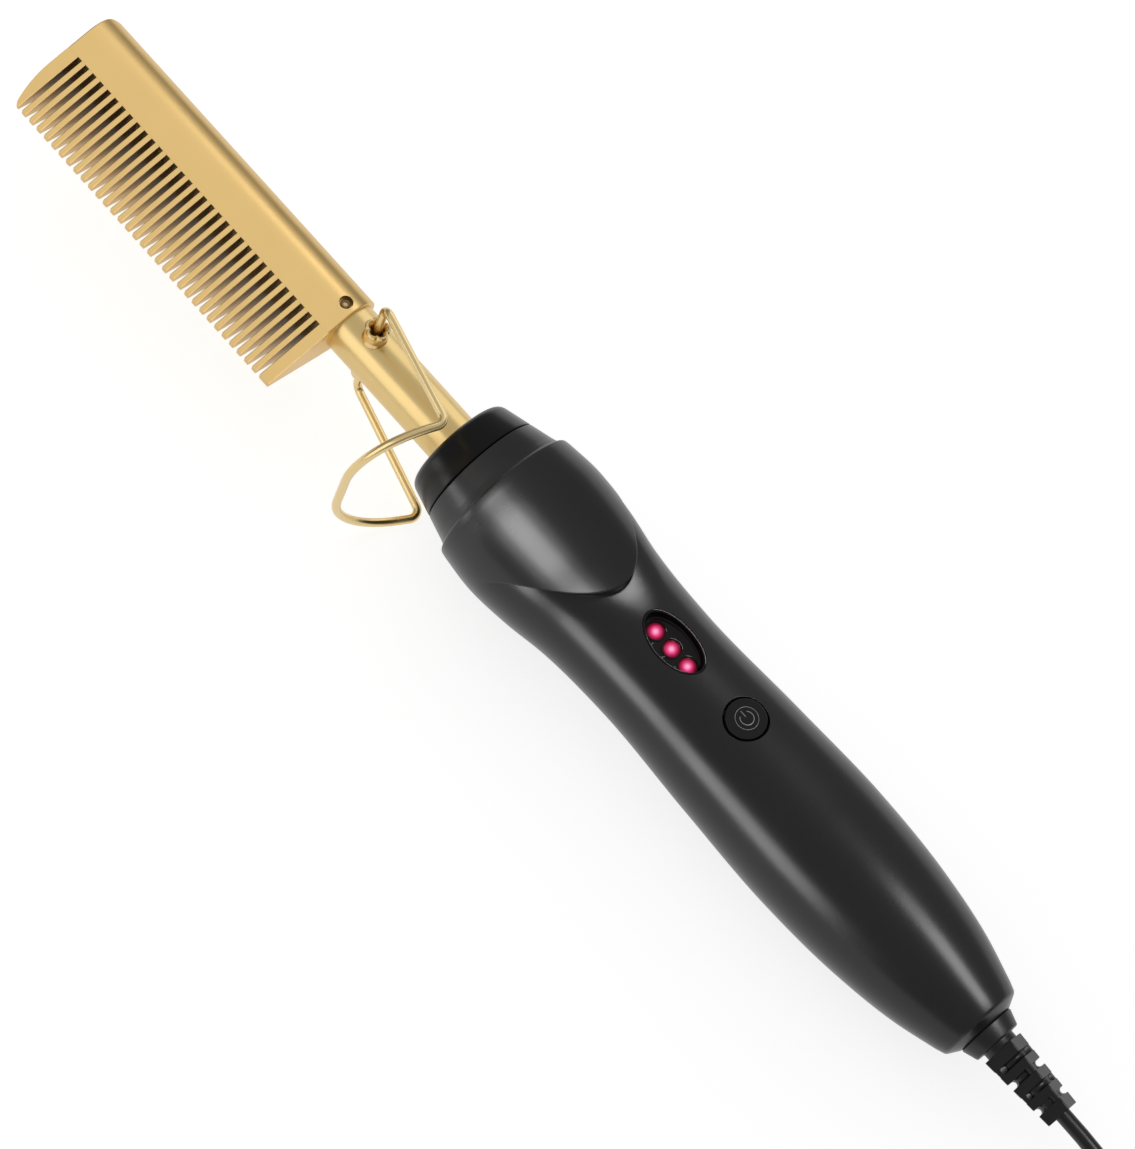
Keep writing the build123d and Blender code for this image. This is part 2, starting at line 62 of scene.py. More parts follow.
# %% Find the tool's frame
JOINTS = {joint["name"]: joint for joint in frame["joints"]}
PIVOT_X = -28.5
Z_AXIS = -np.array(JOINTS["button_press"]["axis"])
Z_AXIS /= np.linalg.norm(Z_AXIS)
Y_AXIS = np.array([0.0, 1.0, 0.0])
X_AXIS = np.cross(Y_AXIS, Z_AXIS)
ROTATION = np.array([X_AXIS, Y_AXIS, Z_AXIS])
ORIGIN = np.array(JOINTS["stand_swing"]["pos_m"]) * 1000 - PIVOT_X * X_AXIS


def placed(points):
    """Points of the tool's frame (mm) in the model's frame (m): turned, then moved."""
    return (np.asarray(points, float) @ ROTATION + ORIGIN) / 1000


def in_tool_frame(points):
    """Points of the model's frame (m) back in the tool's frame (mm)."""
    return (points * 1000 - ORIGIN) @ ROTATION.T


LEAN = math.degrees(math.acos(Z_AXIS[2]))
print(f"tool's frame: leans {LEAN:.2f} degrees, origin {ORIGIN.round(1).tolist()} mm")

# %% [markdown]
# ## From arrays to meshes
#
# A piece is a list of surfaces, each an array of points with its faces. They are put end to end,
# given to Blender in one go, and merged where they meet, so that seams and poles are closed.
# Corners sharper than an angle stay crisp, and everything else is shaded smooth.

# %% Join, measure and close
SEAM = 5e-6


def joined(parts):
    """Surfaces (points, faces) put end to end: one array of points, one list of faces."""
    points = [np.asarray(surface, float).reshape(-1, 3) for surface, _ in parts]
    faces, start = [], 0
    for surface, (_, polygons) in zip(points, parts):
        faces += [[int(corner) + start for corner in polygon] for polygon in polygons]
        start += len(surface)
    return np.concatenate(points), faces


def close_seams(mesh):
    """Merge points that coincide."""
    net = bmesh.new()
    net.from_mesh(mesh)
    bmesh.ops.remove_doubles(net, verts=net.verts, dist=SEAM)
    net.to_mesh(mesh)
    net.free()
    mesh.validate()


def points_of(mesh):
    """A mesh's points as one array."""
    co = np.empty(len(mesh.vertices) * 3)
    mesh.vertices.foreach_get("co", co)
    return co.reshape(-1, 3)


def linked_mesh(name, points, faces):
    """A closed mesh object in the scene."""
    mesh = bpy.data.meshes.new(name)
    mesh.from_pydata(points.tolist(), [], faces)
    close_seams(mesh)
    obj = bpy.data.objects.new(name, mesh)
    bpy.context.scene.collection.objects.link(obj)
    return obj


# %% Build a piece
def build(name, parts, finish, nodes=(), body="tool", sharp=35, in_tool=True):
    """One piece from surfaces: its finish, the body it rides on and the CAD nodes it stands for."""
    points, faces = joined(parts)
    obj = linked_mesh(name, placed(points) if in_tool else points / 1000, faces)
    mesh = obj.data
    mesh.shade_smooth()
    mesh.set_sharp_from_angle(angle=math.radians(sharp))
    mesh.materials.append(finish)
    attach(obj, body)
    for node in nodes:
        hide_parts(node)
    co = points_of(mesh) * 1000
    low, high = co.min(0).round(1).tolist(), co.max(0).round(1).tolist()
    print(f"{name}: {len(mesh.vertices)} points, {len(mesh.polygons)} faces, from {low} to {high} mm")
    return obj


def paint(obj, label, values):
    """Store one number per point of a piece, for its material to read."""
    layer = obj.data.attributes.new(label, "FLOAT", "POINT")
    layer.data.foreach_set("value", values.astype(np.float32))
    print(f"{obj.name}: {label} from {values.min():.2f} to {values.max():.2f}")


# %% [markdown]
# ## Surfaces on a grid
#
# Nearly every piece is a grid of points wrapped round a form, and its faces follow from the
# grid's shape alone. Two more helpers give the points of a turned form: one turns a profile about
# the tool's long axis, as a lathe does, the other about an upright axis.

# %% Grids and flat ends
def grid(points, close_rows=False, close_columns=False, flip=False):
    """Quads over an array of shape (rows, columns, 3); either way round can be closed.

    The quad at row i, column j joins (i, j), (i + 1, j), (i + 1, j + 1) and (i, j + 1).
    """
    points = np.asarray(points, float)
    rows, columns = points.shape[:2]
    i = np.arange(rows if close_rows else rows - 1)[:, None]
    j = np.arange(columns if close_columns else columns - 1)
    k, m = (i + 1) % rows, (j + 1) % columns
    corners = (i * columns + j, k * columns + j, k * columns + m, i * columns + m)
    quads = np.stack(corners, -1).reshape(-1, 4)
    return points.reshape(-1, 3), quads[:, ::-1] if flip else quads


def fan(ring, flip=False):
    """One flat polygon over a closed ring of points."""
    order = np.arange(len(ring))[None]
    return ring, order[:, ::-1] if flip else order


# %% Turned forms
def around(count):
    """Angles of a whole turn in equal steps."""
    return np.radians(np.linspace(0, 360, count, endpoint=False))


def lathe(profile, segments):
    """Turn (x, radius) points about the tool's X axis: y = r sin a, z = r cos a."""
    profile, angles = np.asarray(profile, float), around(segments)
    x = np.repeat(profile[:, :1], segments, 1)
    y, z = profile[:, 1:] * np.sin(angles), profile[:, 1:] * np.cos(angles)
    return grid(np.stack([x, y, z], 2), close_columns=True)


def lathe_up(profile, at_x, segments, at_y=0.0):
    """Turn (radius, z) points about an upright axis: x = at_x + r cos a, y = at_y + r sin a."""
    profile, angles = np.asarray(profile, float), around(segments)
    x, y = profile[:, :1] * np.cos(angles) + at_x, profile[:, :1] * np.sin(angles) + at_y
    z = np.repeat(profile[:, 1:], segments, 1)
    return grid(np.stack([x, y, z], 2), close_columns=True, flip=True)


# %% [markdown]
# ## Rounded profiles
#
# No moulded or machined edge is a knife edge. Profiles are drawn as a few corner points, and each
# corner is swapped for a short curve, so the edge catches a thin highlight as the real one does.

# %% Round the corners of a profile
STRAIGHT, HALF_RUN = 1e-3, 0.49


def rounded(points, radius, steps=5):
    """A 2-D line with each inner corner replaced by a curve of about the given radius (mm).

    The curve is the parabola (1-t)^2 start + 2t(1-t) corner + t^2 end. Its ends lie the radius
    times the tangent of half the turn from the corner, and never more than about half a run.
    """
    points = np.asarray(points, float)
    radii = radius if isinstance(radius, list) else [radius] * (len(points) - 2)
    t = np.linspace(0, 1, steps + 1)[:, None]
    out = [points[:1]]
    for before, corner, after, r in zip(points, points[1:], points[2:], radii):
        a, b = before - corner, after - corner
        run_a, run_b = np.linalg.norm(a), np.linalg.norm(b)
        a, b = a / run_a, b / run_b
        turn = math.pi - math.acos(np.clip(a @ b, -1, 1))
        if r <= 0 or turn < STRAIGHT:
            out.append(corner[None])
            continue
        reach = min(r * math.tan(turn / 2), HALF_RUN * run_a, HALF_RUN * run_b)
        start, end = corner + a * reach, corner + b * reach
        out.append((1 - t) ** 2 * start + 2 * t * (1 - t) * corner + t**2 * end)
    return np.concatenate([*out, points[-1:]])


# %% [markdown]
# ## Tubes along a path
#
# Wire and raised lines are a circle carried along a path. The circle's two directions are carried
# from point to point, each time only straightened against the path, so the tube has no twist.

# %% Tubes
UPRIGHT = [0.13, 0.2, 0.97]


def carried_sides(path):
    """Side and up vectors along a path: each side is the last less its share along the path."""
    tangents = np.gradient(path, axis=0)
    tangents /= np.linalg.norm(tangents, axis=1)[:, None]
    side = np.cross(tangents[0], UPRIGHT)
    side /= np.linalg.norm(side)
    sides = [side]
    for tangent in tangents[1:]:
        side = side - tangent * (side @ tangent)
        side /= np.linalg.norm(side)
        sides.append(side)
    return np.array(sides), np.cross(tangents, sides)


def tube(path, radius, segments):
    """A round tube: path + radius (side cos a + up sin a), with flat ends."""
    path = np.asarray(path, float)
    sides, ups = carried_sides(path)
    angles = around(segments)[None, :, None]
    ring = sides[:, None] * np.cos(angles) + ups[:, None] * np.sin(angles)
    points = path[:, None] + radius * ring
    return [grid(points, close_columns=True, flip=True), fan(points[0]), fan(points[-1], flip=True)]


# %% [markdown]
# ## Shader groups
#
# An effect that several materials share is one node group with named inputs, built once and
# placed in each material with its own values. Two small helpers keep the node code short: one
# makes a node and sets its inputs by name, the other links pairs of sockets.

# %% Helpers for shader nodes
def add(tree, kind, **values):
    """A new shader node of a kind, with the values of its inputs given by name."""
    node = tree.nodes.new("ShaderNode" + kind)
    for label, value in values.items():
        node.inputs[label.replace("_", " ")].default_value = value
    return node


def link(tree, *pairs):
    """Link pairs of sockets: an output, and the input that it feeds."""
    for output, entry in pairs:
        tree.links.new(output, entry)


def new_group(name, inputs, output, kind):
    """An empty group with number inputs {name: value} and one output, and its end sockets."""
    group = bpy.data.node_groups.new(name, "ShaderNodeTree")
    for label, value in inputs.items():
        socket = group.interface.new_socket(name=label, in_out="INPUT", socket_type="NodeSocketFloat")
        socket.default_value = value
    group.interface.new_socket(name=output, in_out="OUTPUT", socket_type=kind)
    print(f"shader group: {name}")
    return group, group.nodes.new("NodeGroupInput").outputs, group.nodes.new("NodeGroupOutput").inputs


# %% [markdown]
# ### Fine grain
#
# Satin plastic and plated metal have a light sand-blasted texture from the mould or the blasting.
# Two layers of noise, a fine and a coarser one, are added and bump the normal by microns.

# %% Group: fine grain
def fine_grain():
    """Normal of a grain: noise at Scale plus noise at 0.3 Scale, bumped by Height."""
    inputs = {"Scale": 900.0, "Height": 0.1}
    group, given, result = new_group("fine_grain", inputs, "Normal", "NodeSocketVector")
    place = add(group, "TexCoord").outputs["Object"]
    small, large = add(group, "TexNoise", Detail=4.0), add(group, "TexNoise", Detail=2.0)
    coarser, both = add(group, "Math"), add(group, "Math")
    bump = add(group, "Bump", Distance=0.00005)
    coarser.operation, both.operation = "MULTIPLY", "ADD"
    coarser.inputs[1].default_value = 0.3
    link(group,
         (place, small.inputs["Vector"]), (place, large.inputs["Vector"]),
         (given["Scale"], small.inputs["Scale"]), (given["Scale"], coarser.inputs[0]),
         (coarser.outputs[0], large.inputs["Scale"]),
         (small.outputs["Fac"], both.inputs[0]), (large.outputs["Fac"], both.inputs[1]),
         (both.outputs[0], bump.inputs["Height"]), (given["Height"], bump.inputs["Strength"]),
         (bump.outputs["Normal"], result["Normal"]))
    return group


FINE_GRAIN = fine_grain()

# %% [markdown]
# ### Handling wear
#
# Fingers and cleaning leave a surface glossier in some places than in others. Soft blotches of
# noise carry the roughness from its smoothest to its roughest value.

# %% Group: handling wear
def handling_wear():
    """Roughness between two values: noise from 0.3 to 0.7 stretched over them."""
    inputs = {"Scale": 60.0, "Smoothest": 0.3, "Roughest": 0.4}
    group, given, result = new_group("handling_wear", inputs, "Roughness", "NodeSocketFloat")
    blotch = add(group, "TexNoise", Detail=6.0, Roughness=0.6)
    spread = add(group, "MapRange", From_Min=0.3, From_Max=0.7)
    link(group,
         (add(group, "TexCoord").outputs["Object"], blotch.inputs["Vector"]),
         (given["Scale"], blotch.inputs["Scale"]), (blotch.outputs["Fac"], spread.inputs["Value"]),
         (given["Smoothest"], spread.inputs["To Min"]), (given["Roughest"], spread.inputs["To Max"]),
         (spread.outputs["Result"], result["Roughness"]))
    return group


HANDLING_WEAR = handling_wear()

# %% [markdown]
# ### Drawn lines
#
# Tube and wire are drawn through a die and then polished, which leaves faint lines along them.
# Noise that is stretched fifty times along X gives them.

# %% Group: drawn lines
def drawn_lines():
    """Normal for faint lines along X: noise squeezed to 0.02 of its detail there, bumped."""
    inputs = {"Scale": 1500.0, "Height": 0.1}
    group, given, result = new_group("drawn_lines", inputs, "Normal", "NodeSocketVector")
    stretch, noise = add(group, "Mapping", Scale=(0.02, 1.0, 1.0)), add(group, "TexNoise")
    bump = add(group, "Bump", Distance=0.00003)
    link(group,
         (add(group, "TexCoord").outputs["Object"], stretch.inputs["Vector"]),
         (stretch.outputs["Vector"], noise.inputs["Vector"]), (given["Scale"], noise.inputs["Scale"]),
         (noise.outputs["Fac"], bump.inputs["Height"]), (given["Height"], bump.inputs["Strength"]),
         (bump.outputs["Normal"], result["Normal"]))
    return group


DRAWN_LINES = drawn_lines()

# %% [markdown]
# ## Materials
#
# Every finish is a Principled shader with its constants on its own sockets and the groups above
# on its roughness and normal. Plated gold is a metal whose colour is that of its reflections, and
# plastic is a dark base under a plain gloss. Each finish is made with the first piece that has it.

# %% Make a finish
def material(name, color, metallic, wear, grain=None, lines=None, **constants):
    """A Principled material with shared wear, and either grain or drawn lines on its normal.

    wear is (scale, smoothest, roughest), and grain and lines are (scale, height).
    """
    made = bpy.data.materials.new(name)
    made.use_nodes = True
    tree, shader = made.node_tree, made.node_tree.nodes["Principled BSDF"]
    shader.inputs["Base Color"].default_value = (*color, 1)
    shader.inputs["Metallic"].default_value = metallic
    for label, value in constants.items():
        shader.inputs[label.replace("_", " ")].default_value = value
    rough = add(tree, "Group")
    rough.node_tree = HANDLING_WEAR
    for label, value in zip(("Scale", "Smoothest", "Roughest"), wear):
        rough.inputs[label].default_value = value
    link(tree, (rough.outputs["Roughness"], shader.inputs["Roughness"]))
    if grain or lines:
        relief = add(tree, "Group")
        relief.node_tree = FINE_GRAIN if grain else DRAWN_LINES
        for label, value in zip(("Scale", "Height"), grain or lines):
            relief.inputs[label].default_value = value
        link(tree, (relief.outputs["Normal"], shader.inputs["Normal"]))
    print(f"finish: {name}")
    return made


# %% [markdown]
# ## Comb
#
# The comb is a wedge: a round spine and two flat flanks that run down to thin teeth. It could be
# cut from a bar by boolean slots, but then the fine bright chamfer along every slot would be lost.
# So each tooth is its own lofted strip whose eight-sided section carries the chamfers, and the
# solid back is one sweep of the spine's outline. Its section follows from two numbers: the
# spine's radius, and the flank, which is the tangent from the tip to the spine's circle.

# %% The comb's measures
COMB_FAR, COMB_NEAR = -122.8, -35.5
SPINE_R, TIP_REACH, TIP_HALF, ROOT = 7.4, 23.8, 0.85, 7.4
CHAMFER, TOOTH_OVERLAP = 0.14, 0.02
FLANK = math.asin(SPINE_R / math.hypot(TIP_REACH, TIP_HALF)) - math.atan2(TIP_HALF, TIP_REACH)
TOUCH_Y, TOUCH_Z = -SPINE_R * math.sin(FLANK), SPINE_R * math.cos(FLANK)
END_ARC_R, END_ARC_FROM, TIP_CORNER, SPINE_CORNER = 28.0, 11.0, 0.7, 4.2


def half_thickness(y):
    """Half the comb's thickness at y, on the flat flank: a straight line from tip to spine."""
    return TIP_HALF + (y + TIP_REACH) * (TOUCH_Z - TIP_HALF) / (TOUCH_Y + TIP_REACH)


def fall(into, radius):
    """How far a circle has left its tangent: radius - sqrt(radius^2 - into^2), 0 before it."""
    return radius - np.sqrt(np.maximum(radius**2 - np.maximum(into, 0) ** 2, 0))


def far_edge(y):
    """X of the comb's far end at y: a long arc, a small corner at the tip, one at the spine."""
    low, high = y + TIP_REACH, SPINE_R - y
    return (COMB_FAR + fall(END_ARC_FROM - low, END_ARC_R) + fall(TIP_CORNER - low, TIP_CORNER)
            + fall(SPINE_CORNER - high, SPINE_CORNER))


print(f"comb: flanks lean {math.degrees(FLANK):.2f} degrees")
print(f"comb: {2 * half_thickness(-ROOT):.1f} mm thick at the slots' roots")

# %% [markdown]
# ### Teeth
#
# Thirty-three saw cuts leave thirty-two thin teeth, a broad one at the stem's end and one at the
# far end that follows the rounded outline. All of them are the same strip between two limits.

# %% Teeth
SLOTS, PITCH, SLOT_WIDTH, LAST_SLOT = 33, 2.5, 1.15, -39.0


def tooth(x_from, x_to, y):
    """A strip of the wedge between two x limits (one number, or one per y), with chamfers."""
    y = np.asarray(y, float)
    h, c = half_thickness(y), CHAMFER
    section = [(x_from + c, h), (x_to - c, h), (x_to, h - c), (x_to, c - h),
               (x_to - c, -h), (x_from + c, -h), (x_from, c - h), (x_from, h - c)]
    rings = np.stack([np.stack(np.broadcast_arrays(x, y, z), -1) for x, z in section], 1)
    return [grid(rings, close_columns=True), fan(rings[0], flip=True), fan(rings[-1])]


def comb_teeth():
    """All the teeth, the rounded far one included."""
    top = -ROOT + TOOTH_OVERLAP
    y = [-TIP_REACH, -TIP_REACH + 0.1, top]
    middles = LAST_SLOT - np.arange(SLOTS) * PITCH
    lows, highs = middles - SLOT_WIDTH / 2, middles + SLOT_WIDTH / 2
    parts = tooth(highs[0], COMB_NEAR, y)
    for low, high in zip(lows, highs[1:]):
        parts += tooth(high, low, y)
    corner = -TIP_REACH + TIP_CORNER * (1 - np.cos(np.linspace(0.05, math.pi / 2, 8)))
    curve = -TIP_REACH + np.linspace(1.2, END_ARC_FROM, 12)
    y = np.array([*corner, *curve, top])
    return parts + tooth(far_edge(y), lows[-1], y)


print(f"teeth: {SLOTS - 1} of {PITCH - SLOT_WIDTH:.2f} mm, and one at each end")


# %% [markdown]
# ### Back
#
# The back is the spine's arc and the upper flanks, swept along X. Three rows at each end draw it
# in a little, which softens the end's edge. Rows close together near the screw keep the faces
# small where the hole will be cut.

# %% Back
SOFT_END = ((0.25, 0.0), (0.075, 0.075), (0.0, 0.25))
SCREW_X = -38.3
SCREW_ROWS = (-42.0, *(SCREW_X + np.linspace(-2.0, 2.0, 9)))


def comb_back():
    """Rows of the outline along X; an inset row is the outline scaled by 1 - inset / radius."""
    angles = np.linspace(-math.pi / 2 - FLANK, math.pi / 2 + FLANK, 41)
    arc = SPINE_R * np.column_stack([np.cos(angles), np.sin(angles)])
    h = half_thickness(-ROOT)
    y, z = np.array([(-ROOT, -h), *arc, (-ROOT, h)]).T
    scaled = [(1 - inset / SPINE_R, step) for inset, step in SOFT_END]
    rows = [(far_edge(y * k) + step, y * k, z * k) for k, step in scaled]
    rows += [(x, y, z) for x in SCREW_ROWS]
    rows += [(COMB_NEAR - step, y * k, z * k) for k, step in scaled[::-1]]
    rings = [np.stack(np.broadcast_arrays(*row), -1) for row in rows]
    return [grid(rings, close_columns=True, flip=True), fan(rings[0]), fan(rings[-1], flip=True)]


# %% [markdown]
# ### Screw hole
#
# A small screw holds the heater, sunk in a hole in the flank. One hole in a long curved back is
# what a boolean is good at: an upright drill is taken away from the back by exact arithmetic. Its
# floor stands where the screw's head does.

# %% Drill the back
HOLE_R, HOLE_FLOOR, HOLE_DARK, HOLE_TOP = 1.6, 5.6, 7.05, 9.0


def drilled(parts, drill):
    """The closed solid `parts` less the closed solid `drill`, by an exact boolean."""
    stock, tool = linked_mesh("stock", *joined(parts)), linked_mesh("drill", *joined(drill))
    cut = stock.modifiers.new("hole", "BOOLEAN")
    cut.object, cut.operation, cut.solver = tool, "DIFFERENCE", "EXACT"
    bpy.context.view_layer.update()
    evaluated = stock.evaluated_get(bpy.context.evaluated_depsgraph_get())
    mesh = bpy.data.meshes.new_from_object(evaluated)
    result = points_of(mesh), [tuple(face.vertices) for face in mesh.polygons]
    for obj in (stock, tool):
        old = obj.data
        bpy.data.objects.remove(obj)
        bpy.data.meshes.remove(old)
    bpy.data.meshes.remove(mesh)
    return [result]


DRILL = [(0.0, HOLE_FLOOR), *((HOLE_R, z) for z in (HOLE_FLOOR, HOLE_DARK, HOLE_TOP)), (0.0, HOLE_TOP)]
GOLD_COMB = material("gold_comb", (0.79, 0.545, 0.22), 1.0, (90, 0.30, 0.36), grain=(2600, 0.25))
back = drilled(comb_back(), [lathe_up(DRILL, SCREW_X, segments=32)])
comb = build("comb", back + comb_teeth(), GOLD_COMB, ["comb_head"], sharp=12)

# %% [markdown]
# ### Shade in the slots and the hole
#
# Deep in a narrow slot the gold mirrors only more gold and goes dark brown, and a path tracer needs
# many bounces to find that. The mesh carries the shade instead, as an attribute: 0 on the skin and
# at the teeth's tips, up to 1 at the slots' roots. The material mixes its colour by it.

# %% Darken the slots
SLOT_BROWN = (0.06, 0.018, 0.005, 1)
HOLE_SHADE, ROOT_BIAS, JUST_PAST = 0.9, 0.7, 0.02
WALL_DEPTH, EDGE_DEPTH = 0.6 * CHAMFER, 1.5 * CHAMFER


def slot_dark(points):
    """Shade of each point of the comb (mm, tool's frame).

    A wall's points lie a chamfer below the flank. Their shade is the share of the way from tip to
    root, to the power 0.7. In the hole it is one value, from its floor up to HOLE_DARK.
    """
    x, y, z = points.T
    below = half_thickness(y) - np.abs(z) > WALL_DEPTH
    slotted = (y < -ROOT + 0.1) & (x < COMB_NEAR - 0.3) & (x > far_edge(y) + EDGE_DEPTH)
    share = np.clip((y + TIP_REACH) / (TIP_REACH - ROOT), 0, 1) ** ROOT_BIAS
    hole = np.hypot(x - SCREW_X, y) < HOLE_R + JUST_PAST
    sunk = hole & (z > HOLE_FLOOR - 0.1) & (z < HOLE_DARK + JUST_PAST)
    return np.maximum(below * slotted * share, sunk * HOLE_SHADE)


def mix_by_attribute(made, label, color):
    """Mix a material's base colour towards another by an attribute of the mesh."""
    tree, shader = made.node_tree, made.node_tree.nodes["Principled BSDF"]
    dark, mix = add(tree, "Attribute"), add(tree, "Mix")
    dark.attribute_name = label
    mix.data_type = "RGBA"
    mix.inputs["A"].default_value = shader.inputs["Base Color"].default_value
    mix.inputs["B"].default_value = color
    link(tree, (dark.outputs["Fac"], mix.inputs["Factor"]),
         (mix.outputs["Result"], shader.inputs["Base Color"]))


paint(comb, "slot_dark", slot_dark(in_tool_frame(points_of(comb.data))))
mix_by_attribute(GOLD_COMB, "slot_dark", SLOT_BROWN)

# %% [markdown]
# ### Set screw
#
# The screw is turned: a flat top with a shallow socket, a rounded shoulder and a shank that ends
# inside the comb. It is darker than the comb, bronze rather than gold.

# %% Set screw
SCREW_BRONZE = material("screw_bronze", (0.26, 0.16, 0.08), 1.0, (90, 0.26, 0.34), grain=(1500, 0.1))
SCREW_PROFILE = [(1.2, 5.0), (1.18, 6.35), (1.0, 6.55), (0.55, 6.5), (0.5, 5.8), (0.001, 5.8)]
screw = lathe_up(SCREW_PROFILE, SCREW_X, segments=32)
build("comb_screw", [screw], SCREW_BRONZE, ["comb_set_screw"])

# %% [markdown]
# ## Stem
#
# The stem is a drawn tube that runs from inside the comb into the collar, so a plain turned
# cylinder of a few rows is right, with the drawn lines in its material.

# %% Stem
STEM_R = 6.3
GOLD_TUBE = material("gold_tube", (0.80, 0.59, 0.26), 1.0, (70, 0.27, 0.33), lines=(1800, 0.2))
stem = lathe([(x, STEM_R) for x in (-40.0, -20.0, 0.0, 6.0)], segments=128)
build("stem", [stem], GOLD_TUBE, ["stem_tube"])

# %% [markdown]
# ## Eyelets
#
# The wire turns in two tubular rivets. Setting such a rivet flares its lip, and the lip splits
# into petals. A lathe gives the body, and the lip's radius dips in five narrow places as it goes
# round.

# %% Eyelets
EYELET = rounded(
    [(3.0, 5.5), (2.9, 6.1), (2.55, 6.9), (2.5, 8.5), (2.75, 9.7), (3.05, 10.2), (2.85, 10.75),
     (2.4, 10.8), (1.7, 9.9), (1.1, 8.6), (1.08, 6.0)], 0.25, 4)
LIP_FROM, LIP_HEIGHT, BORE_R, SPLIT_DEPTH, PETALS, FIRST_SPLIT = 8.8, 1.6, 1.3, 0.75, 5, 0.6
GOLD_WIRE = material("gold_wire", (0.86, 0.66, 0.33), 1.0, (90, 0.22, 0.28), lines=(2500, 0.1))


def eyelet(side):
    """Turned rivet. Its lip loses 1 - sqrt |cos(petals a / 2 + first split)| of the split depth."""
    angles = around(96)
    radius, z = EYELET[:, :1], np.repeat(EYELET[:, 1:], len(angles), 1)
    lip = np.clip((z - LIP_FROM) / LIP_HEIGHT, 0, 1)
    petal = np.abs(np.cos(angles * PETALS / 2 + FIRST_SPLIT)) ** 0.5
    radius = radius - lip * (1 - petal) * SPLIT_DEPTH * (radius > BORE_R)
    x, y = radius * np.cos(angles) + PIVOT_X, radius * np.sin(angles)
    return grid(np.stack([x, y, z * side], 2), close_columns=True, flip=side > 0)


for side, name in ((1, "upper"), (-1, "lower")):
    build(f"eyelet_{name}", [eyelet(side)], GOLD_WIRE, [f"stand_eyelet_{name}"])

# %% [markdown]
# ## Wire stand
#
# One wire, bent. Its path is straight runs between corner points with a true arc at each bend, on
# the same corners as the CAD wire. Points no more than about a millimetre apart keep the drawn
# section even along the straight legs.

# %% Wire stand
WIRE_R, WIRE_STEP = 1.0, 1.2
WIRE_CORNERS = np.array([
    (PIVOT_X, 0.0, 5.3), (PIVOT_X, 0.0, 20.7), (0.1, -8.2, 22.0), (-6.9, -27.4, 22.8),
    (-7.1, -27.6, -22.7), (3.6, -8.2, -22.0), (PIVOT_X, 0.0, -18.8), (PIVOT_X, 0.0, -5.3)])
WIRE_BENDS = [2.5, 2.2, 16.5, 16.5, 2.2, 2.5]


def bend(before, corner, after, radius):
    """Points of the arc that touches both runs: its centre plus a spoke that swings across."""
    a = (before - corner) / np.linalg.norm(before - corner)
    b = (after - corner) / np.linalg.norm(after - corner)
    half_turn = (math.pi - math.acos(a @ b)) / 2
    reach = radius * math.tan(half_turn)
    centre = corner + (a + b) / np.linalg.norm(a + b) * radius / math.cos(half_turn)
    start, end = corner + a * reach - centre, corner + b * reach - centre
    t = np.linspace(0, 1, 14)[:, None]
    spokes = start * np.sin((1 - t) * 2 * half_turn) + end * np.sin(t * 2 * half_turn)
    return centre + spokes / math.sin(2 * half_turn)


def wire_path():
    """Centreline of the wire, with every gap divided into steps of at most WIRE_STEP."""
    corners = WIRE_CORNERS
    bends = map(bend, corners, corners[1:], corners[2:], WIRE_BENDS)
    path = np.concatenate([corners[:1], *bends, corners[-1:]])
    dense = [path[:1]]
    for last, point in zip(path, path[1:]):
        steps = math.ceil(np.linalg.norm(point - last) / WIRE_STEP)
        dense.append(last + (point - last) * np.arange(1, steps + 1)[:, None] / steps)
    return np.concatenate(dense)


wire = tube(wire_path(), WIRE_R, segments=24)
build("stand_wire", wire, GOLD_WIRE, ["wire_stand"], body="stand")

# %% [markdown]
# ## Collar
#
# A turned black ring, polished. Its front edge is rounded, its flank opens towards the handle,
# and its last rows are the seat that the handle is pushed on to.

# %% Collar
BLACK_GLOSS = material(
    "black_gloss", (0.004, 0.004, 0.0045), 0.0, (60, 0.22, 0.28), grain=(900, 0.03),
    Specular_IOR_Level=0.4)
COLLAR = rounded(
    [(4.0, 6.36), (0.0, 6.45), (0.0, 12.75), (8.05, 14.88), (8.1, 14.0), (8.1, 12.75), (9.5, 12.7)],
    [0.15, 2.6, 0.35, 0.1, 0.0], 8)
build("collar", [lathe(COLLAR, segments=160)], BLACK_GLOSS, ["front_collar"])

# %% [markdown]
# ## Handle
#
# The handle is one moulded sleeve: a turned form with three things that a lathe can't make. The
# bulb runs on over the control face as a tongue, the face is a little hollow behind the tongue,
# and it has two openings. So it is built in steps: the profile, then the tongue's edge and the
# hollow as functions of place, then grids that follow them. It is made as two pieces,
# handle_bulb and handle_grip, which share the row at the tongue's edge, so that each can have
# lamps of its own.

# %% The grip's profile
WAIST = (64.8, 15.45)
GRIP = [
    (16.2, 18.2), (25.1, 19.0), (36.4, 18.15), (47.0, 16.45), WAIST, (92.9, 16.5), (119.0, 17.2),
    (140.0, 16.0), (156.9, 13.3), (166.4, 10.7)]


def smooth_curve(points, count):
    """A cubic through points: Hermite pieces, each point's slope averaged from its neighbours.

    Between two points h apart the height is (1+2t)(1-t)^2 r0 + t(1-t)^2 h s0 + t^2(3-2t) r1
    + t^2(t-1) h s1.
    """
    x, r = np.array(points).T
    slope = np.gradient(r, x)
    xs = np.linspace(x[0], x[-1], count)
    k = np.clip(np.searchsorted(x, xs) - 1, 0, len(x) - 2)
    h = x[k + 1] - x[k]
    t = (xs - x[k]) / h
    return xs, ((1 + 2 * t) * (1 - t) ** 2 * r[k] + t * (1 - t) ** 2 * h * slope[k]
                + t * t * (3 - 2 * t) * r[k + 1] + t * t * (t - 1) * h * slope[k + 1])


GRIP_X, GRIP_R = smooth_curve(GRIP, 1200)


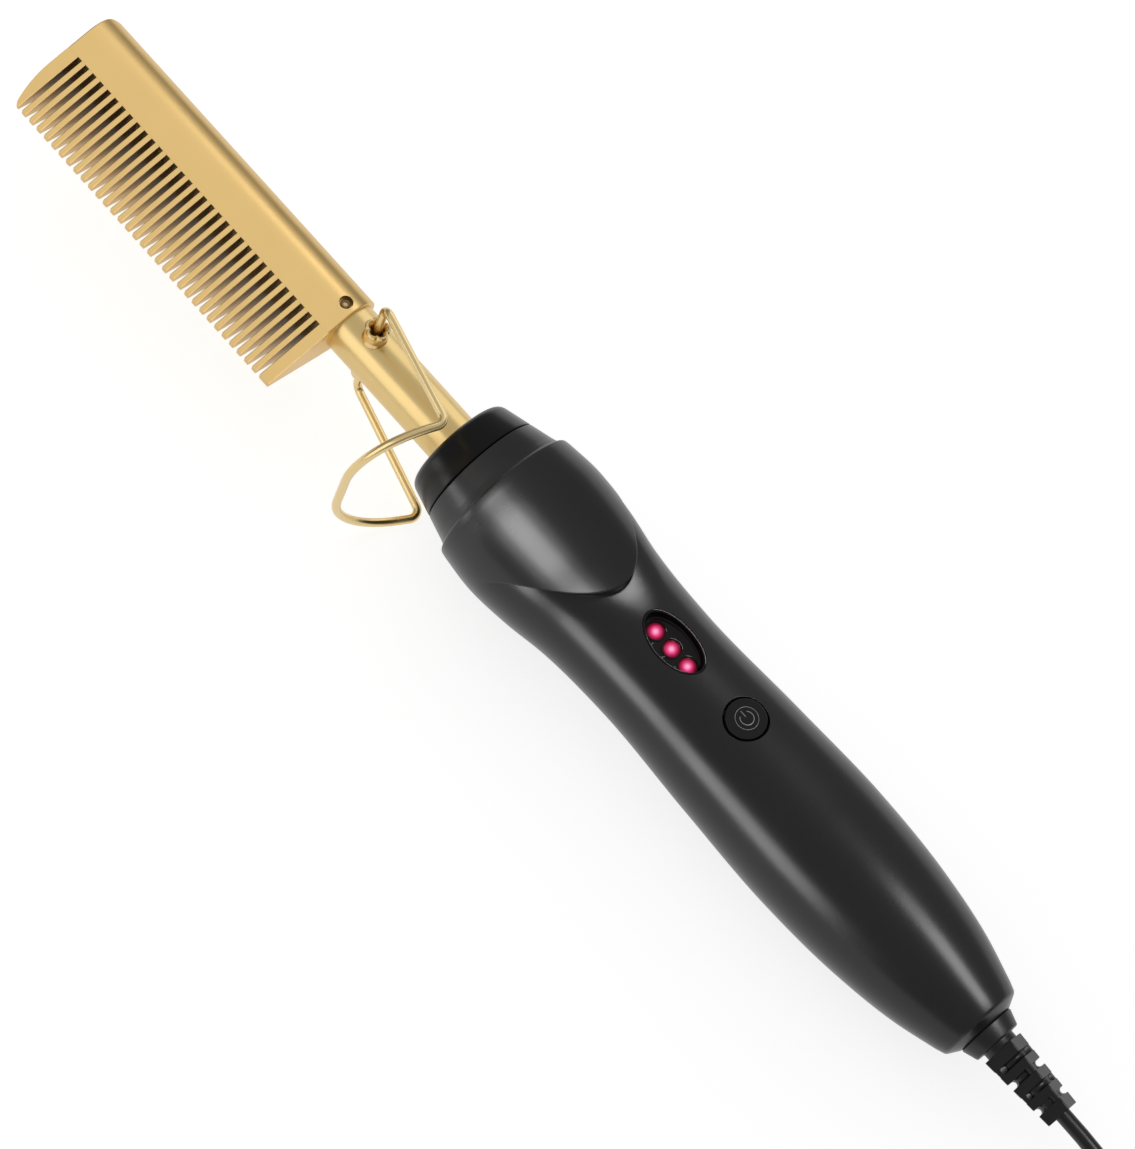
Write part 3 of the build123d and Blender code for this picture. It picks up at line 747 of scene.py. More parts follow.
def grip_radius(x):
    """Radius of the grip and bulb behind the rim."""
    return np.interp(x, GRIP_X, GRIP_R)


print(f"grip: {2 * GRIP_R.max():.1f} mm at the bulb, {2 * WAIST[1]:.1f} mm at the waist")

# %% [markdown]
# ### Tongue and hollow
#
# Seen from above, the tongue's edge is a parabola with its tip at x = 50. Behind it a thumb's
# hollow starts at full depth and fades out. Both are plain formulas of x and of the angle round
# the handle, so every grid below can ask for the radius anywhere.

# %% The tongue's edge and the hollow behind it
TONGUE_LIFT, LIFT_FROM, LIFT_LENGTH = 0.35, 28.0, 22.0
TONGUE_TIP, TONGUE_BEND = 50.0, 0.062
CREASE_GUESS, CREASE_ROUNDS = 42.0, 12
HOLLOW, HOLLOW_LENGTH, HOLLOW_MIDDLE, HOLLOW_SPREAD = 1.5, 9.0, math.radians(6), math.radians(35)


def tongue_lift(x):
    """How far the tongue stands proud at x, in mm: from nothing on the bulb to its tip."""
    return TONGUE_LIFT * np.clip((x - LIFT_FROM) / LIFT_LENGTH, 0, 1.1)


def crease_x(angle):
    """X of the tongue's edge at an angle from the control face: x = tip - bend y^2.

    y is the surface's own at x, so x starts as a guess and goes halfway to the formula, again and
    again, until it hardly moves.
    """
    x = np.full(np.shape(angle), CREASE_GUESS)
    for _ in range(CREASE_ROUNDS):
        y = grip_radius(x) * np.sin(np.minimum(np.abs(angle), math.pi / 2))
        x = 0.5 * x + 0.5 * (TONGUE_TIP - TONGUE_BEND * y * y)
    return x


def face_radius(x, angle):
    """Radius behind the tongue: the grip's, less a hollow that is deepest at the tongue's edge.

    The depth falls as the power 1.5 of what is left of its length, and round the handle as a
    bell curve of the angle times its cosine to the power 1.5, so it has run out at the sides.
    """
    left = np.clip(1 - (x - crease_x(angle)) / HOLLOW_LENGTH, 0, 1)
    bell = np.exp(-((angle - HOLLOW_MIDDLE) / HOLLOW_SPREAD) ** 2 / 2)
    return grip_radius(x) - HOLLOW * left**1.5 * bell * np.maximum(np.cos(angle), 0) ** 1.5


print(f"tongue: tip at x {TONGUE_TIP} mm, {TONGUE_LIFT} mm proud, over a hollow of {HOLLOW} mm")


# %% [markdown]
# ### Bulb
#
# The rows of the front grid start as plain circles at the neck and rim and are bent row by row
# until the last ones lie along the tongue's edge. Six close rows draw the small rounded step
# down to the face.

# %% Bulb
NECK = rounded(
    [(8.35, 12.9), (8.35, 14.95), (13.6, 16.35), (15.35, 16.95), (15.7, 18.05), (17.4, 18.33)],
    [0.25, 2.0, 0.7, 0.7], 8)
STEP_DOWN = [(-0.35, 1.0), (-0.15, 0.93), (0.0, 0.75), (0.12, 0.42), (0.2, 0.14), (0.3, 0.0)]
STEP_HIGH, STEP_LOW = STEP_DOWN[0][0], STEP_DOWN[-1][0]
LAST_ROW, BULB_ROWS = -0.5, 48
ANGLES = around(240)
SIGNED = (ANGLES + math.pi) % (2 * math.pi) - math.pi
CREASE = crease_x(SIGNED)
BLACK_SATIN = material(
    "black_satin", (0.012, 0.012, 0.0125), 0.0, (45, 0.24, 0.29), grain=(2200, 0.12),
    Specular_IOR_Level=0.45)


def ring(x, r):
    """One row of the handle: x and radius, numbers or one value per angle."""
    x = np.broadcast_to(x, ANGLES.shape)
    return np.stack([x, r * np.sin(ANGLES), r * np.cos(ANGLES)], 1)


def handle_front():
    """Neck, rim, bulb and tongue, up to the row just past the tongue's edge."""
    rows = [ring(x, r) for x, r in NECK]
    front = NECK[-1][0]
    for t in np.linspace(0, 1, BULB_ROWS)[1:]:
        x = front + (CREASE + LAST_ROW - front) * t
        rows.append(ring(x, grip_radius(x) + tongue_lift(x)))
    low = face_radius(CREASE + STEP_LOW, SIGNED)
    high = grip_radius(CREASE + STEP_HIGH) + tongue_lift(CREASE + STEP_HIGH)
    return rows + [ring(CREASE + step, low + (high - low) * share) for step, share in STEP_DOWN]


front_rows = handle_front()
bulb = grid(front_rows, close_columns=True)
build("handle_bulb", [bulb], BLACK_SATIN, ["handle_barrel"], sharp=40)

# %% [markdown]
# ### Grip
#
# The grip's grid starts at the bulb's last row, so the two pieces meet point for point. Over the
# control face it leaves a gap, because no grid runs neatly round two openings.

# %% The grip's grid
TAIL = rounded([GRIP[-1], (168.75, 9.85), (170.5, 6.6), (170.5, 4.0)], [1.6, 0.6], 8)
PATCH_FROM, PATCH_TO, PATCH_HALF = 54.0, 98.0, math.radians(36)
HOLLOW_ROWS, REAR_ROWS = 24, 70
PATCH_ROWS = np.linspace(PATCH_FROM, PATCH_TO, 36)
OVER_FACE = np.abs(SIGNED) <= PATCH_HALF + 1e-9
PATCH_ANGLES = np.sort(SIGNED[OVER_FACE])


def handle_rear(foot):
    """The grid from the row `foot` to the tail, less the quads over the control face."""
    front, rows = CREASE + STEP_LOW, [foot]
    for t in np.linspace(0, 1, HOLLOW_ROWS)[1:]:
        x = front + (PATCH_FROM - front) * t
        rows.append(ring(x, face_radius(x, SIGNED)))
    first = len(rows) - 1
    rows += [ring(x, face_radius(x, SIGNED)) for x in PATCH_ROWS[1:]]
    last = len(rows) - 1
    rows += [ring(x, grip_radius(x)) for x in np.linspace(PATCH_TO, GRIP[-1][0], REAR_ROWS)[1:]]
    rows += [ring(x, r) for x, r in TAIL[1:]]
    points, quads = grid(rows, close_columns=True)
    row, column = np.divmod(quads[:, 0], len(ANGLES))
    gap = (first <= row) & (row < last) & OVER_FACE[column] & OVER_FACE[quads[:, 3] % len(ANGLES)]
    print(f"grip: {gap.sum()} quads left out over the control face")
    return points, quads[~gap]


# %% [markdown]
# ### Control face
#
# The gap is filled by triangles in plan: a border that has the grid's own points, the outlines of
# the two openings, and loose points in between. Constrained Delaunay triangulation joins them,
# and every point is then lifted on to the handle. Short walls lead down into the openings, with a
# small rounded edge.

# %% The openings, and the way on to the handle
WINDOW_X, WINDOW_HALF, WINDOW_COUNT = 66.4, (8.8, 5.15), 96
BUTTON_X, BUTTON_HOLE = 89.0, 5.25
OPENINGS = [(WINDOW_X, WINDOW_HALF, WINDOW_COUNT), (BUTTON_X, (BUTTON_HOLE, BUTTON_HOLE), 72)]
OPENING_WALL = [(0.0, 0.0), (0.06, 0.03), (0.11, 0.11), (0.13, 0.22), (0.13, 2.6)]
CLEARANCE, EXTRA_RINGS, SURFACE_ROUNDS = 0.7, (0.18, 0.42), 14


def loop(centre_x, half, count):
    """Plan outline of an oval: x = centre + a cos t, y = b sin t."""
    t = around(count)
    return np.stack([centre_x + half[0] * np.cos(t), half[1] * np.sin(t)], 1)


def drawn_in(outline, amount):
    """A closed outline with each point moved an amount towards its middle."""
    spokes = outline - outline.mean(0)
    return outline - spokes / np.linalg.norm(spokes, axis=1)[:, None] * amount


def on_handle(plan, drop=0.0):
    """Plan points lifted on to the handle, less a drop: z = sqrt(r^2 - y^2), r found in steps."""
    x, y = plan.T
    r = grip_radius(x)
    for _ in range(SURFACE_ROUNDS):
        r = face_radius(x, np.arcsin(y / r))
    return np.column_stack([plan, np.sqrt(r**2 - y**2) - drop])


# %% Border and loose points
def patch_border():
    """The gap's rim in plan, once round, on the grid's own points: y = radius times sin(angle)."""
    rows, angles = PATCH_ROWS, PATCH_ANGLES
    n, m = len(rows), len(angles)
    x = np.concatenate([rows, np.full(m - 1, rows[-1]), rows[-2::-1], np.full(m - 2, rows[0])])
    sides = np.full(n, angles[0]), np.full(n - 1, angles[-1])
    turned = np.concatenate([sides[0], angles[1:], sides[1], angles[-2:0:-1]])
    return np.column_stack([x, face_radius(x, turned) * np.sin(turned)])


def loose_points():
    """Points in step with the grid and clear of the openings, and two rings round each opening."""
    x = np.repeat(PATCH_ROWS[1:-1], len(PATCH_ANGLES) - 2)
    y = grip_radius(x) * np.tile(np.sin(PATCH_ANGLES[1:-1]), len(PATCH_ROWS) - 2)
    clear, rings = np.full(len(x), True), []
    for centre, half, count in OPENINGS:
        clear &= np.hypot((x - centre) / (half[0] + CLEARANCE), y / (half[1] + CLEARANCE)) >= 1
        rings += [loop(centre, np.add(half, grow), count) for grow in EXTRA_RINGS]
    return np.concatenate([np.column_stack([x, y])[clear], *rings])


print(f"control face: {len(patch_border())} border points, {len(loose_points())} loose points")


# %% Fill the control face
def filled(outlines, loose):
    """Points and triangles between the first outline and the others, which are holes in it."""
    starts = np.cumsum([0, *map(len, outlines)])
    loops = [list(range(start, end)) for start, end in zip(starts, starts[1:])]
    points = [Vector(point) for point in np.concatenate([*outlines, loose])]
    result = delaunay_2d_cdt(points, [], loops, 0, 1e-7, True)
    plan, triangles, owners = result[0], result[2], result[5]
    kept = [triangle for triangle, owner in zip(triangles, owners) if list(owner) == [0]]
    return np.array([point[:] for point in plan]), np.array(kept)


def control_face():
    """The filled plan on the handle's surface, all triangles turned outwards, and the walls."""
    holes = [loop(*opening) for opening in OPENINGS]
    plan, triangles = filled([patch_border(), *holes], loose_points())
    surface = on_handle(plan)
    a, b, c = surface[triangles].transpose(1, 0, 2)
    outwards = np.cross(b - a, c - a)[:, 2:] > 0
    faces = np.where(outwards, triangles, triangles[:, ::-1])
    walls = [[on_handle(drawn_in(hole, inset), drop) for inset, drop in OPENING_WALL] for hole in holes]
    return [(surface, faces), *(grid(wall, close_columns=True) for wall in walls)]


grip = [handle_rear(front_rows[-1]), *control_face()]
build("handle_grip", grip, BLACK_SATIN, sharp=40)

# %% [markdown]
# ## Window
#
# An oval cup is glued into the handle, and its rim stands a hair below the skin. It is one sweep
# of an oval from the rim down the wall to the floor: the bright line round the window is the
# rim's rounded edge. Each lamp sits in a small raised seat on the floor.

# %% Window
WINDOW_FLOOR, LED_R, LED_Y = 12.9, 2.1, -0.5
LED_MIDDLE, LED_PITCH = 66.8, 5.1
LED_PLACES = [LED_MIDDLE + i * LED_PITCH for i in (-1, 0, 1)]
WINDOW_RIM = [
    (0.16, 0.9), (0.16, 0.16), (0.24, 0.07), (0.38, 0.04), (0.52, 0.07), (0.62, 0.16), (0.70, 0.5)]
WINDOW_FOOT = [(0.82, 0.5), (0.95, 0.12), (1.15, 0.0)]
SEAT = [(0.34, -0.1), (0.3, 0.16), (0.16, 0.24), (0.02, 0.22), (-0.1, -0.1)]
SMOKED = material("smoked_window", (0.006, 0.003, 0.005), 0.0, (60, 0.08, 0.14), grain=(700, 0.02))


def oval(inset):
    """The window's outline, drawn in by an inset on both of its half lengths."""
    return loop(WINDOW_X, np.subtract(WINDOW_HALF, inset), WINDOW_COUNT)


def window():
    """Ovals by inset: the rim's at a drop below the skin, the foot's at a lift over the floor."""
    rings = [on_handle(oval(inset), drop) for inset, drop in WINDOW_RIM]
    for inset, lift in WINDOW_FOOT:
        rings.append(np.column_stack([oval(inset), np.full(WINDOW_COUNT, WINDOW_FLOOR + lift)]))
    seat = np.array(SEAT) + (LED_R, WINDOW_FLOOR)
    seats = [lathe_up(seat, x, segments=48, at_y=LED_Y) for x in LED_PLACES]
    return [grid(rings, close_columns=True), fan(rings[-1]), *seats]


build("window", window(), SMOKED, ["window_bezel"], sharp=50)

# %% [markdown]
# ## Lamps
#
# A lit lamp is brightest where one looks into its die, and crimson at its rim. The mesh carries
# that as an attribute, the share of each normal that points out of the window, and the material's
# ramp turns it into the colour of the light. A clear coat gives the lens its sharp highlights.

# %% The lamps' material
GLOW_STOPS = [(0.30, (0.03, 0.0, 0.002)), (0.66, (0.22, 0.003, 0.025)), (0.86, (0.62, 0.02, 0.12)),
              (0.95, (0.92, 0.12, 0.36)), (1.0, (1.0, 0.50, 0.76))]


def lamp_lens():
    """Emission from a ramp over the attribute called glow, under a clear coat."""
    made = material(
        "lamp_lens", (0.25, 0.004, 0.03), 0.0, (200, 0.08, 0.14), grain=(1200, 0.02), Coat_Weight=0.6)
    tree, shader = made.node_tree, made.node_tree.nodes["Principled BSDF"]
    glow, ramp = add(tree, "Attribute"), add(tree, "ValToRGB")
    glow.attribute_name = "glow"
    ramp.color_ramp.interpolation = "B_SPLINE"
    stops = ramp.color_ramp.elements
    while len(stops) < len(GLOW_STOPS):
        stops.new(0.5)
    for stop, (at, color) in zip(stops, GLOW_STOPS):
        stop.position = at
        stop.color = (*color, 1)
    link(tree, (glow.outputs["Fac"], ramp.inputs["Fac"]),
         (ramp.outputs["Color"], shader.inputs["Emission Color"]))
    shader.inputs["Emission Strength"].default_value = 0.95
    return made


LAMP_LENS = lamp_lens()

# %% Lamps
LED_TOP, LED_FOOT = 14.3, 1.6
LED_CENTRE = LED_TOP - LED_R
LOOKS_ALONG = np.array([0.10, -0.32, 0.94])


def lamp(x):
    """A dome (r cos t, centre + r sin t) on a short cylinder."""
    t = np.radians(np.linspace(0, 90, 16))[:-1]
    dome = zip(LED_R * np.cos(t), LED_CENTRE + LED_R * np.sin(t))
    profile = [(LED_R, WINDOW_FLOOR - LED_FOOT), *dome, (0.001, LED_TOP)]
    return lathe_up(profile, x, segments=48, at_y=LED_Y)


for number, x in enumerate(LED_PLACES, start=1):
    obj = build(f"lamp_{number}", [lamp(x)], LAMP_LENS, [f"led_{number}"], sharp=60)
    out = in_tool_frame(points_of(obj.data)) - (x, LED_Y, LED_CENTRE)
    out /= np.linalg.norm(out, axis=1)[:, None]
    paint(obj, "glow", np.clip(out @ LOOKS_ALONG / np.linalg.norm(LOOKS_ALONG), 0, 1))

# %% [markdown]
# ## Level numbers
#
# The lamps are numbered on the window's floor. Text is the simplest way to draw figures. It is
# turned into a thin mesh first, so that its place can be put into its points.

# %% Level numbers
FIGURE_SIZE, FIGURE_LIFT, FIGURE_Y, FIGURE_SHIFTS = 1.3, 0.02, -3.2, (1.6, 0.2, -1.6)
PRINT = material("pale_print", (0.75, 0.78, 0.76), 0.0, (90, 0.4, 0.5), grain=(3000, 0.05))


def figure(text, at_x):
    """Points and faces of a small raised text with its middle at a place on the window's floor."""
    curve = bpy.data.curves.new("figure", "FONT")
    curve.body = text
    curve.size = FIGURE_SIZE
    curve.extrude = FIGURE_LIFT
    curve.resolution_u = 4
    curve.align_x, curve.align_y = "CENTER", "CENTER"
    holder = bpy.data.objects.new("figure", curve)
    bpy.context.scene.collection.objects.link(holder)
    bpy.context.view_layer.update()
    mesh = bpy.data.meshes.new_from_object(holder)
    points = points_of(mesh) + (at_x, FIGURE_Y, WINDOW_FLOOR + FIGURE_LIFT)
    faces = [tuple(face.vertices) for face in mesh.polygons]
    bpy.data.objects.remove(holder)
    bpy.data.meshes.remove(mesh)
    bpy.data.curves.remove(curve)
    return points, faces


figures = [figure(text, x + shift) for text, x, shift in zip("123", LED_PLACES, FIGURE_SHIFTS)]
build("level_numbers", figures, PRINT, sharp=30)

# %% [markdown]
# ## Button
#
# A turned cap with a flange that keeps it in the handle, a rounded edge and a slightly crowned
# top, where a finger finds it.

# %% Button
BUTTON_R, BUTTON_TOP, CROWN_DROP, CROWN_R = 4.65, 16.5, 0.066, 2.45
FLANGE = [(6.0, 9.8), (6.0, 10.6)]
BLACK_BUTTON = material("black_button", (0.018, 0.018, 0.019), 0.0, (60, 0.24, 0.32), grain=(2200, 0.06))


def cap_height(radius):
    """Height of the crown at a distance from its middle: top - drop (distance / CROWN_R)^2."""
    return BUTTON_TOP - CROWN_DROP * (radius / CROWN_R) ** 2


def button_cap():
    """Cap from its flange up the wall, over the rounded edge, to the middle of the crown."""
    corners = [(BUTTON_R, FLANGE[-1][1]), (BUTTON_R, 16.17), (BUTTON_R - 0.5, 16.26), (3.4, 16.37)]
    edge = rounded(corners, [0.4, 0.4], 8)
    crown = [(r, cap_height(r)) for r in (2.6, 1.9, 1.2, 0.6, 0.001)]
    return [lathe_up([*FLANGE, *edge, *crown], BUTTON_X, segments=96)]


build("button", button_cap(), BLACK_BUTTON, ["power_button"], body="button", sharp=40)

# %% [markdown]
# ### Power sign
#
# The usual sign for power is a ring that is open at the top round a short bar. It and a fine
# circle about it stand a few hundredths of a millimetre out of the cap, as thin tubes half sunk.
# Their pale grey is painted highlight: it stands in for the light that the raised lines catch.

# %% Power sign
# Painted highlight: the sign's grey is paler than the cap's black to stand for light on its raised
# lines.
SIGN_PAINTED_HIGHLIGHT = material("sign_painted_highlight", (0.30, 0.30, 0.305), 0.0, (60, 0.24, 0.32), grain=(2200, 0.06))
SIGN_R, SIGN_BAR, CIRCLE_R = 1.55, (-2.0, -1.3, -0.4), 2.6
SIGN_LINE, CIRCLE_LINE = (0.2, 0.07), (0.12, 0.05)


def raised_line(x, y, width, height):
    """A line on the cap along plan points about its middle: a tube whose top is `height` up."""
    z = cap_height(np.hypot(x, y)) + height - width / 2
    return tube(np.column_stack([x + BUTTON_X, y, z]), width / 2, segments=8)


def power_sign():
    """Open ring, bar and outer circle, each line with its width and height."""
    part, whole = np.radians(np.linspace(40, 320, 40)), np.radians(np.linspace(0, 360, 64))
    return (raised_line(-SIGN_R * np.cos(part), SIGN_R * np.sin(part), *SIGN_LINE)
            + raised_line(np.array(SIGN_BAR), np.zeros(len(SIGN_BAR)), *SIGN_LINE)
            + raised_line(CIRCLE_R * np.cos(whole), CIRCLE_R * np.sin(whole), *CIRCLE_LINE))


build("button_sign", power_sign(), SIGN_PAINTED_HIGHLIGHT, body="button", sharp=40)

# %% [markdown]
# ## Strain relief
#
# The boot is a square standing on its corner, tapered and notched from alternate sides, so that
# it bends a little everywhere. Seen from the axis every section is star-shaped, so the boot is a
# grid of x against angle whose radius is the square's, or the notch's where one is cut.

# %% The boot's sections
BOOT_FROM, BOOT_TO, HALF_FROM, HALF_TO = 175.8, 194.5, 5.5, 4.35
CROSS_NOTCHES, SIDE_NOTCHES, NOTCH_HALF = (179.5, 187.1), (183.2, 190.8), 0.8
WEB_HALF, BOOT_CORE, BOOT_EDGE, BOOT_CORNER = 0.85, 2.9, 0.12, 0.35
BOOT_ANGLES = around(288)


def square_radius(angles, half, corner):
    """Radius by angle of a square with its corners on the axes, each rounded by an arc.

    On a side it is half / (cos + sin), with the angle taken from the nearest axis. On an arc it
    is c cos + sqrt(corner^2 - (c sin)^2), where c is the distance of the arc's centre.
    """
    off = np.abs((angles + math.pi / 4) % (math.pi / 2) - math.pi / 4)
    flat = half / (np.cos(off) + np.sin(off))
    centre = half - corner * math.sqrt(2)
    arc = centre * np.cos(off) + np.sqrt(np.maximum(corner**2 - (centre * np.sin(off)) ** 2, 0))
    tangent = math.atan2(corner / math.sqrt(2), centre + corner / math.sqrt(2))
    return np.where(off < tangent, arc, flat)


def boot_ring(x, radius):
    """One row of the boot. Angle 0 is up."""
    y, z = radius * np.sin(BOOT_ANGLES), radius * np.cos(BOOT_ANGLES)
    return np.stack(np.broadcast_arrays(x, y, z), 1)


def boot_section(x, inset=0.0, notch=None, rise=0.0):
    """The boot's outline at x, less an inset. A notch leaves a web and the core in the middle."""
    half = HALF_FROM + (HALF_TO - HALF_FROM) * (x - BOOT_FROM) / (BOOT_TO - BOOT_FROM)
    outer = square_radius(BOOT_ANGLES, half - inset, BOOT_CORNER)
    if notch:
        across = np.abs(np.cos(BOOT_ANGLES) if notch == "cross" else np.sin(BOOT_ANGLES))
        web = WEB_HALF / np.maximum(across, 1e-6)
        outer = np.minimum(outer, np.maximum(np.minimum(web, outer), BOOT_CORE) + rise)
    return boot_ring(x, outer)


def softened(x, outwards):
    """Three rows where a wall starts (outwards 1) or ends (-1) at x, with its edge taken off."""
    steps = ((0.0, BOOT_EDGE), (BOOT_EDGE * 0.3, BOOT_EDGE * 0.3), (BOOT_EDGE, 0.0))
    return [boot_section(x + outwards * step, inset) for step, inset in steps][::outwards]


print(f"boot: {2 * HALF_FROM} mm over its corners in front, {2 * HALF_TO} mm at its end")


# %% Boot
BLACK_RUBBER = material("black_rubber", (0.012, 0.012, 0.0125), 0.0, (80, 0.30, 0.40), grain=(1500, 0.5))
CORD_D, BOOT_NECK_R = 3.6, 3.8
BOOT_BASE = rounded(
    [(170.55, 4.0), (170.55, 6.85), (174.2, 5.65), (174.25, 3.9), (176.1, 3.9)], [0.3, 0.45, 0.3], 6)


def boot():
    """Rows of the boot from front to back. The notches' bottoms are half-round in x."""
    rows = [boot_ring(BOOT_FROM, BOOT_NECK_R), *softened(BOOT_FROM, 1)]
    cuts = sorted([(x, "cross") for x in CROSS_NOTCHES] + [(x, "side") for x in SIDE_NOTCHES])
    for x, kind in cuts:
        rows += softened(x - NOTCH_HALF, -1)
        for share in np.sin(np.linspace(-math.pi / 2, math.pi / 2, 11)):
            rise = NOTCH_HALF * (1 - math.sqrt(max(1 - share**2, 0)))
            rows.append(boot_section(x + share * NOTCH_HALF, BOOT_EDGE, kind, rise))
        rows += softened(x + NOTCH_HALF, 1)
    rows += [*softened(BOOT_TO, -1), boot_ring(BOOT_TO - 0.2, CORD_D / 2 * 0.98)]
    return grid(rows, close_columns=True)


base = lathe(BOOT_BASE, segments=96)
build("boot", [base, boot()], BLACK_RUBBER, ["strain_relief"], sharp=30)

# %% [markdown]
# ## Lead
#
# The lead is 1.8 m long. Only its first stretch is in the camera's view, so the rest is wound up
# and tied beside the tool, as for storage. One smooth curve holds it all: listed points for the
# run to the coil, a loop's worth of points for each turn, and listed points on to the plug.

# %% Run of the lead
EXIT = placed([(BOOT_TO, 0.0, 0.0)])[0] * 1000
RUN = np.array([
    EXIT,
    EXIT + X_AXIS * 13.0,
    (EXIT[0] + 29.0, 3.0, EXIT[2] - 5.0),
    (EXIT[0] + 44.0, 8.3, CORD_D / 2 + 0.4),
    (EXIT[0] + 58.0, 9.0, CORD_D / 2)])
print(f"lead: leaves the boot at {EXIT.round(1).tolist()} mm")

# %% [markdown]
# ### Coil
#
# Twelve turns lie three across and four high. A turn keeps its place for most of its way round and
# then steps over to the next place. A quadratic NURBS passes through the middles of its control
# polygon's sides, so the control points stand a little outside the turn's own radius.

# %% Coil of the lead
COIL_R, COIL_COLUMNS, COIL_LAYERS, TURN_POINTS = 21.6, 3, 4, 14
TURNS = COIL_COLUMNS * COIL_LAYERS
OUTER_TURN = COIL_R + (COIL_COLUMNS - 1) * CORD_D / 2
COIL_CENTRE = RUN[-1] - (0, OUTER_TURN, 0)
STEP_FROM, STEP_SHARE, CURVE_SHARE = 0.62, 0.3, 0.975


def coil_place(turn):
    """Radius and height of whole turn number `turn`, out and in again layer by layer."""
    layer, step = np.divmod(turn, COIL_COLUMNS)
    column = np.where(layer % 2 == 0, COIL_COLUMNS - 1 - step, step)
    return np.array([COIL_R + (column - (COIL_COLUMNS - 1) / 2) * CORD_D, CORD_D * (layer + 0.5)])


def coil_points():
    """Control points of the turns, clockwise from above; the step over is 3 t^2 - 2 t^3."""
    turn, share = np.divmod((np.arange(TURNS * TURN_POINTS) + 0.5) / TURN_POINTS, 1)
    here, ahead = coil_place(turn), coil_place(np.minimum(turn + 1, TURNS - 1))
    t = np.clip((share - STEP_FROM) / STEP_SHARE, 0, 1)
    radius, height = here + (ahead - here) * (3 * t**2 - 2 * t**3)
    reach, angle = radius / CURVE_SHARE, 2 * math.pi * share
    x, y = COIL_CENTRE[0] + reach * np.sin(angle), COIL_CENTRE[1] + reach * np.cos(angle)
    return np.column_stack([x, y, height])


print(f"coil: {TURNS} turns about {COIL_CENTRE.round(1).tolist()} mm")

# %% [markdown]
# ### The whole curve
#
# The spline's order and end points are set after its points, because set before, they leave it
# with straight runs. A round bevel gives it the jacket's thickness.

# %% Lead
PLUG_THICKNESS, PLUG_LENGTH, PLUG_TAIL = 13.7, 34.0, 12.1
BLACK_CORD = material("black_cord", (0.010, 0.010, 0.011), 0.0, (70, 0.28, 0.36), grain=(900, 0.03))
COIL_TOP = np.array([COIL_CENTRE[0], COIL_CENTRE[1] + OUTER_TURN, (COIL_LAYERS - 0.5) * CORD_D])
END = np.array([
    COIL_TOP,
    COIL_TOP + (14.0, -0.3, -0.2),
    (COIL_TOP[0] + 29.0, COIL_TOP[1] - 3.2, PLUG_THICKNESS / 2 + 0.7),
    (COIL_TOP[0] + 41.0, COIL_TOP[1] - 3.4, PLUG_THICKNESS / 2)])


def lead():
    """The whole lead as one quadratic NURBS with a round bevel."""
    points = np.concatenate([RUN, coil_points(), END]) / 1000
    curve = bpy.data.curves.new("lead", "CURVE")
    curve.dimensions = "3D"
    curve.bevel_depth = CORD_D / 2 / 1000
    curve.bevel_resolution = 5
    curve.resolution_u = 4
    curve.use_fill_caps = True
    spline = curve.splines.new("NURBS")
    spline.points.add(len(points) - 1)
    spline.points.foreach_set("co", np.column_stack([points, np.ones(len(points))]).ravel())
    spline.order_u = 3
    spline.use_endpoint_u = True
    curve.materials.append(BLACK_CORD)
    obj = bpy.data.objects.new("lead", curve)
    bpy.context.scene.collection.objects.link(obj)
    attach(obj, "tool")
    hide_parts("cord_run", "cord_coil", "cord_tail")
    print(f"lead: {len(points)} control points")
    return obj


lead_obj = lead()

# %% [markdown]
# ## Tie
#
# A flat band goes round the wound-up turns. It is a rounded rectangle about the bundle's section,
# carried 7.6 mm along the turn, with rows close together where its edges are softened. Where it
# would sink into the floor it is pressed flat.

# %% Tie
TIE_ROWS = [(-3.8, -0.4), (-3.8, 0.1), (-3.6, 0.28), (3.6, 0.28), (3.8, 0.1), (3.8, -0.4)]


def ring_section(half_wide, half_high, corner, count=10):
    """Closed outline of a rounded rectangle: four corner centres plus corner (cos a, sin a)."""
    a = (np.arange(4)[:, None] * math.pi / 2 + np.linspace(0, math.pi / 2, count)).ravel()
    x = np.repeat([1, -1, -1, 1], count) * (half_wide - corner) + corner * np.cos(a)
    y = np.repeat([1, 1, -1, -1], count) * (half_high - corner) + corner * np.sin(a)
    return x, y


def tie():
    """Rows of the band by (y, growth) about the bundle at the coil's +X side."""
    wide, high = COIL_COLUMNS * CORD_D / 2, COIL_LAYERS * CORD_D / 2
    rows = []
    for y, grow in TIE_ROWS:
        across, up = ring_section(wide + grow, high + grow, CORD_D / 2 + grow)
        row = across + COIL_CENTRE[0] + COIL_R, y + COIL_CENTRE[1], np.maximum(up + high, 0.02)
        rows.append(np.stack(np.broadcast_arrays(*row), -1))
    return [grid(rows, close_rows=True, close_columns=True)]


build("tie_band", tie(), BLACK_SATIN, ["cord_tie"], in_tool=False)

# %% [markdown]
# ## Plug
#
# A flat moulded body that narrows along its length to the lead: a rounded section is carried
# along X, and each station gives its half width, half height and corner. The tail has four fine
# grooves, where it bends.

# %% Plug
PLUG_BACK = END[-1]
PLUG_FACE_X = PLUG_BACK[0] + PLUG_TAIL + PLUG_LENGTH
PLUG_STATIONS = [
    (-5.5, 16.6, 5.9, 1.6), (-5.2, 17.3, 6.5, 1.9), (-4.6, 17.65, 6.85, 2.2), (0.0, 17.65, 6.85, 2.6),
    (2.5, 16.6, 6.85, 2.8), (6.0, 14.6, 6.85, 3.0), (12.0, 12.0, 6.8, 3.4), (20.0, 9.2, 6.5, 4.0),
    (28.0, 6.7, 5.9, 4.4), (33.6, 5.3, 5.2, 4.7), (34.0, 4.6, 4.6, 4.5), (34.05, 4.2, 4.2, 4.19)]
PLUG_GROOVE = [(0.0, 4.2), (0.15, 3.5), (0.9, 3.5), (1.05, 4.1)]
PLUG_END = [(45.6, 3.2), (46.0, 2.8), (46.0, 1.7)]
